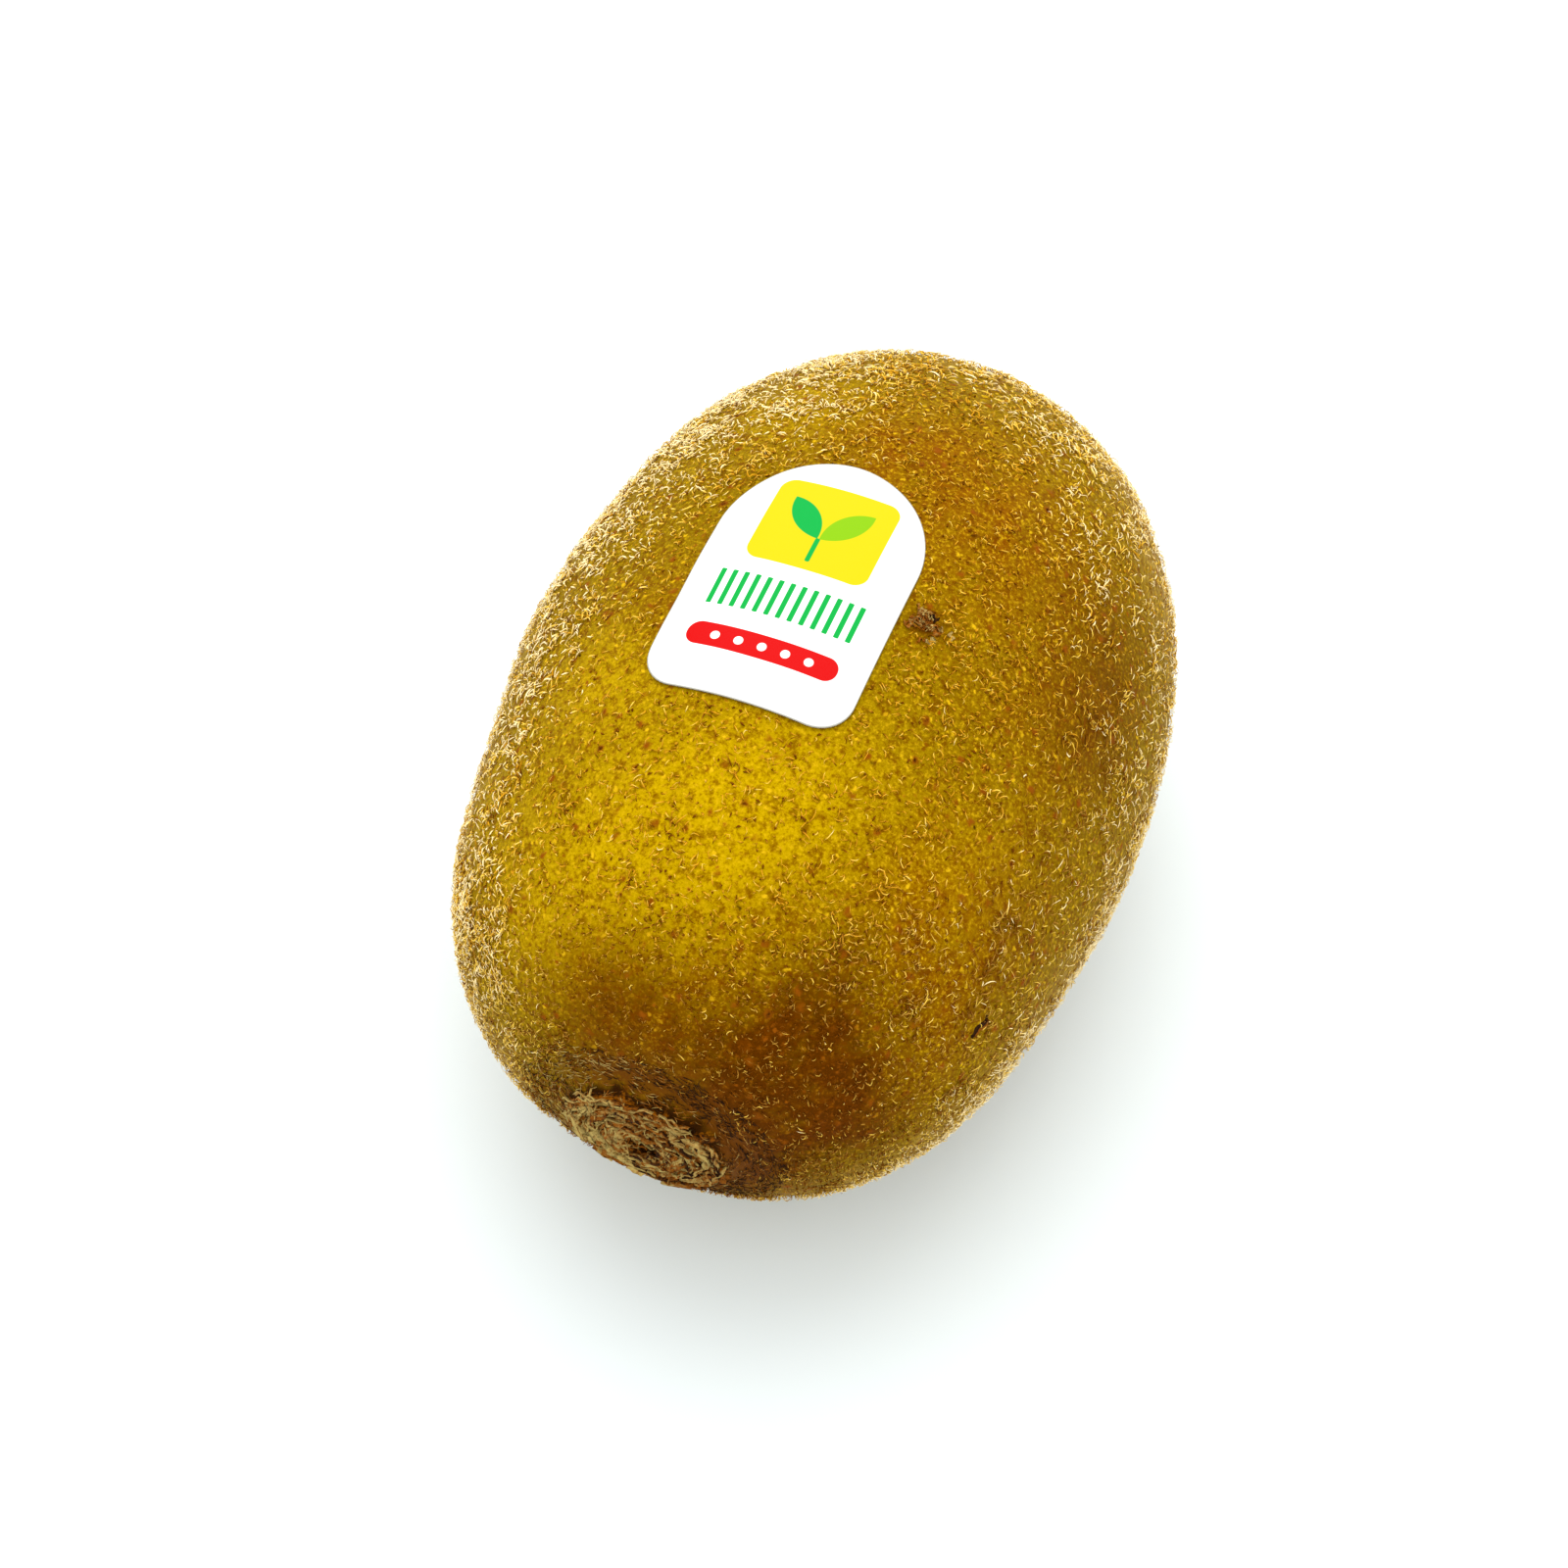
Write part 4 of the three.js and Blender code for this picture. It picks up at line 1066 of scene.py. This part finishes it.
def build_fuzz(sizes, fuzz, label, look):
    """The hairs: tufts of long curled ones, thin ones that stand off the skin, short ones hooked over at the
    tip, and grains, which are broken hairs and raised pores. Each kind is one piece on each half of the
    fruit."""
    form = FruitForm(sizes)
    draw = np.random.default_rng(fuzz.seed)
    curly = hair_material("kiwifruit_hair_dried", look, 0.55)
    broken = hair_material("kiwifruit_broken_hair_dried", look, 0.6)

    tufts = form.scatter(fuzz.curled // TUFT + 1, fuzz_density(form, label, CURLED), draw)
    arc, turn = (np.repeat(values, TUFT)[:fuzz.curled] for values in tufts)
    turn = turn + draw.normal(0, TUFT_SPREAD, fuzz.curled) / form.girth(arc)
    arc = np.clip(arc + draw.normal(0, TUFT_SPREAD, fuzz.curled), POLE_GAP, form.end_arc - POLE_GAP)
    tone = np.repeat(draw.normal(0, TUFT_TONE, len(tufts[0])), TUFT)[:fuzz.curled]
    groups = [("curled", CURLED, arc, turn, tone, curly)]
    for name, kind, number, material in (
            ("fine", FINE, fuzz.fine, curly),
            ("hooked", HOOKED, fuzz.hooked, broken),
            ("grains", GRAIN, fuzz.grains, broken)):
        arc, turn = form.scatter(number, fuzz_density(form, label, kind), draw)
        groups.append((name, kind, arc, turn, draw.choice(kind.tones, number), material))
    for name, kind, arc, turn, tone, material in groups:
        for half, chosen in zip(("stem", "blossom"), np.split(np.argsort(arc), [len(arc) // 2])):
            paths, outwards = hair_paths(form, arc[chosen], turn[chosen], kind, draw)
            shade = hair_shade(paths[:, 0], outwards, draw) + tone[chosen]
            clear = off_sticker(paths, label, HAIR_CLEAR).all(axis=1)
            add_hairs(f"fuzz_{name}_{half}_half", form, paths[clear], outwards[clear],
                      kind.radius * fuzz.radius, shade[clear], material, draw)


# ---- Dried tissue ----


def scar_places(form, radius):
    """Arcs at which the body's end has the given radii from the axis."""
    return np.interp(2 * radius / form.width, form.share[:PROFILE_STEPS], form.arc[:PROFILE_STEPS])


def add_flakes(name, form, flakes, shade, cork):
    """A piece of flakes, given as their points and faces, each flake of one shade."""
    points, faces = flakes
    shades = np.clip(shade, 0, 1)[:, None] + np.zeros(points.shape[:2])
    add_piece(name, points, [faces], cork, form, {"shade": shades})


def build_scar(sizes, ends, look):
    """The stem scar's torn sepals: flakes that lie round the axis, and loose fibres on it and outside it,
    darker towards +X and at the scar's edge. A few more flakes crust the scab and the slit on the skin."""
    form = FruitForm(sizes)
    draw = np.random.default_rng(ends.seed)
    cork = cork_material("dried_sepal_torn", look)
    count = ends.flakes
    arc = scar_places(form, SCAR_RADIUS * np.sqrt(draw.uniform(*FLAKE_REACH, count)))
    curl = draw.uniform(*FLAKE_CURLS, count) * MM * draw.choice([-1, 1], count)
    flakes = strips(form, arc, draw.uniform(0, 2 * np.pi, count), draw.normal(0, FLAKE_LEAN, count),
                    draw.uniform(*FLAKE_LENGTHS, count) * MM, draw.uniform(*FLAKE_WIDTHS, count) * MM,
                    curl, draw)
    shade = draw.choice(FLAKE_TONES, count, p=FLAKE_TONE_CHANCES) + draw.normal(0, FLAKE_TONE_SPREAD, count)
    shade = shade + FLAKE_PALER * ramp(-flakes[0][:, 0, 0], *FLAKE_PALER_LEFT)
    add_flakes("stem_scar_flakes", form, flakes, shade, cork)

    count = ends.fibres
    reach = np.sqrt(draw.uniform(*FIBRE_REACH, count))
    arc = scar_places(form, SCAR_RADIUS * reach)
    paths, outwards = hair_paths(form, arc, draw.uniform(0, 2 * np.pi, count), FIBRE, draw)
    outside = draw.choice(FIBRE_TONES, count) + draw.normal(0, FIBRE_TONE_SPREAD, count)
    outside = outside - FIBRE_DARKER * ramp(paths[:, 0, 0], *FIBRE_DARKER_RIGHT)
    inside = draw.normal(FIBRE_INSIDE, FIBRE_INSIDE_SPREAD, count)
    inside = inside - FIBRE_EDGE_DARKER * bell(reach - 1, FIBRE_EDGE_REACH)
    add_hairs("stem_scar_fibres", form, paths, outwards, FIBRE.radius * FIBRE_RADIUS,
              np.where(reach > FIBRE_OUTSIDE, outside, inside), cork, draw)

    for name, centre, spread, count, lengths, tone, fan, slim in SCABS:
        x, y = (np.array(centre)[:, None] + spread * draw.normal(0, 1, (2, count))) * MM
        arc, turn = form.over(x, y)
        length = draw.uniform(*lengths, count) * MM
        flakes = strips(form, arc, turn, np.pi / 2 + fan * draw.uniform(-1, 1, count), length, slim * length,
                        draw.uniform(*SCAB_CURLS, count) * MM, draw)
        add_flakes(name, form, flakes, draw.normal(tone, SCAB_TONE_SPREAD, count), cork)


def build_styles(sizes, ends, look):
    """Dried styles at the blossom end: slim tapered spindles rooted below the dimple. Their roots lie on a
    sunflower spiral, and each leans and bends outwards by a draw of its own."""
    form = FruitForm(sizes)
    draw = np.random.default_rng(ends.seed + 1)
    count = ends.styles
    share = np.sqrt((np.arange(count) + 0.5) / count)
    radius = STYLE_RADIUS * share
    turn = np.arange(count) * GOLDEN_ANGLE + draw.normal(0, STYLE_STRAY, count)
    t = np.linspace(0, 1, STYLE_PLACES)
    splay = (STYLE_SPLAY + STYLE_SPLAY_ADDED * share) * draw.uniform(*STYLE_SPLAYS, count)
    length = ends.style_length * draw.uniform(*STYLE_LENGTHS, count)
    foot = form.length / 2 + tip_height(radius) - STYLE_ROOT
    rise = foot[:, None] + (length[:, None] + STYLE_ROOT) * t
    away = radius[:, None] + (np.sin(splay) * length)[:, None] * t ** STYLE_BEND
    sway = turn[:, None] + STYLE_SWAY * draw.normal(0, 1, count)[:, None] * t ** 2
    paths = np.stack([away * np.cos(sway), rise, away * np.sin(sway)], axis=-1)
    outwards = np.stack([np.cos(turn), 0 * turn, np.sin(turn)], axis=-1)
    add_hairs("dried_styles", form, paths, outwards, STYLE_THICK, draw.normal(*STYLE_TONE, count),
              cork_material("dried_style_shrunk", look), draw)


# ---- Stage ----


def build_stage(stage):
    """The floor, one soft lamp, white surroundings and the camera, which looks at its aim from a point at
    its distance, azimuth and elevation."""
    half = FLOOR_WIDTH / 2
    mesh = bpy.data.meshes.new("floor")
    corners = [(-half, -half, 0), (half, -half, 0), (half, half, 0), (-half, half, 0)]
    mesh.from_pydata(corners, [], [(0, 1, 2, 3)])
    mesh.materials.append(finish_material(new_material("board_painted_matt"), Base_Color=tuple(stage.floor),
                                          Roughness=0.6, Specular_IOR_Level=0.2))
    floor = bpy.data.objects.new("floor", mesh)
    bpy.context.scene.collection.objects.link(floor)

    world = bpy.data.worlds.new("white_room")
    world.use_nodes = True
    world.node_tree.nodes["Background"].inputs["Color"].default_value = (1, 1, 1, 1)
    world.node_tree.nodes["Background"].inputs["Strength"].default_value = stage.fill
    bpy.context.scene.world = world

    lamp = bpy.data.lights.new("soft_key", "AREA")
    lamp.shape = "DISK"
    lamp.size = LAMP_SIZE
    lamp.energy = stage.key
    key = bpy.data.objects.new("soft_key", lamp)
    key.location = LAMP_PLACE
    key.rotation_euler = key.location.to_track_quat("Z", "Y").to_euler()
    bpy.context.scene.collection.objects.link(key)

    flat = math.cos(stage.elevation)
    back = np.array([math.sin(stage.azimuth) * flat, -math.cos(stage.azimuth) * flat,
                     math.sin(stage.elevation)])
    lens = bpy.data.cameras.new("camera")
    lens.angle = stage.view_angle
    lens.clip_start = 0.01
    camera = bpy.data.objects.new("camera", lens)
    camera.location = np.array(stage.aim) + stage.distance * back
    camera.rotation_euler = (math.pi / 2 - stage.elevation, 0, stage.azimuth)
    bpy.context.scene.collection.objects.link(camera)
    bpy.context.scene.camera = camera
    bpy.context.scene.view_settings.view_transform = "Standard"


# ---- Operators, panel and registration ----


class KIWI_OT_skin(bpy.types.Operator):
    """Build the skin of the fruit with its stem scar and blossom end"""
    bl_idname = "kiwi.skin"
    bl_label = "Skin"

    def execute(self, context):
        build_skin(context.scene.kiwi_body, context.scene.kiwi_colours)
        return {"FINISHED"}


class KIWI_OT_fuzz(bpy.types.Operator):
    """Grow the hairs and grains on the skin"""
    bl_idname = "kiwi.fuzz"
    bl_label = "Fuzz"

    def execute(self, context):
        scene = context.scene
        build_fuzz(scene.kiwi_body, scene.kiwi_fuzz, scene.kiwi_sticker, scene.kiwi_colours)
        return {"FINISHED"}


class KIWI_OT_scar(bpy.types.Operator):
    """Build the torn sepals and fibres of the stem scar, and the scabs"""
    bl_idname = "kiwi.scar"
    bl_label = "Stem scar and scabs"

    def execute(self, context):
        build_scar(context.scene.kiwi_body, context.scene.kiwi_ends, context.scene.kiwi_colours)
        return {"FINISHED"}


class KIWI_OT_styles(bpy.types.Operator):
    """Build the dried styles of the blossom end"""
    bl_idname = "kiwi.styles"
    bl_label = "Dried styles"

    def execute(self, context):
        build_styles(context.scene.kiwi_body, context.scene.kiwi_ends, context.scene.kiwi_colours)
        return {"FINISHED"}


class KIWI_OT_sticker(bpy.types.Operator):
    """Lay the printed sticker on the upper skin"""
    bl_idname = "kiwi.sticker"
    bl_label = "Sticker"

    def execute(self, context):
        build_sticker(context.scene.kiwi_body, context.scene.kiwi_sticker)
        return {"FINISHED"}


class KIWI_OT_stage(bpy.types.Operator):
    """Set the floor, the light and the camera"""
    bl_idname = "kiwi.stage"
    bl_label = "Stage"

    def execute(self, context):
        build_stage(context.scene.kiwi_stage)
        return {"FINISHED"}


OPERATORS = (KIWI_OT_stage, KIWI_OT_skin, KIWI_OT_fuzz, KIWI_OT_scar, KIWI_OT_styles, KIWI_OT_sticker)
SETTINGS = {
    "kiwi_body": KiwiBodySettings,
    "kiwi_colours": KiwiColourSettings,
    "kiwi_fuzz": KiwiFuzzSettings,
    "kiwi_ends": KiwiEndSettings,
    "kiwi_sticker": KiwiStickerSettings,
    "kiwi_stage": KiwiStageSettings,
}


class VIEW3D_PT_kiwi(bpy.types.Panel):
    """Settings and operators of the kiwifruit"""
    bl_label = "Kiwifruit"
    bl_category = "Kiwifruit"
    bl_space_type = "VIEW_3D"
    bl_region_type = "UI"

    def draw(self, context):
        for name, group in SETTINGS.items():
            box = self.layout.box()
            box.label(text=group.__doc__.rstrip("."))
            for setting in group.__annotations__:
                box.prop(getattr(context.scene, name), setting)
        for operator in OPERATORS:
            self.layout.operator(operator.bl_idname)


def register():
    for group in (*SETTINGS.values(), *OPERATORS, VIEW3D_PT_kiwi):
        bpy.utils.register_class(group)
    for name, group in SETTINGS.items():
        setattr(bpy.types.Scene, name, PointerProperty(type=group))


def unregister():
    for name in SETTINGS:
        delattr(bpy.types.Scene, name)
    for group in (VIEW3D_PT_kiwi, *OPERATORS, *SETTINGS.values()):
        bpy.utils.unregister_class(group)


def main():
    """Registers the add-on and builds every piece."""
    register()
    bpy.ops.kiwi.stage()
    bpy.ops.kiwi.skin()
    bpy.ops.kiwi.fuzz()
    bpy.ops.kiwi.scar()
    bpy.ops.kiwi.styles()
    bpy.ops.kiwi.sticker()


if __name__ == "__main__":
    main()
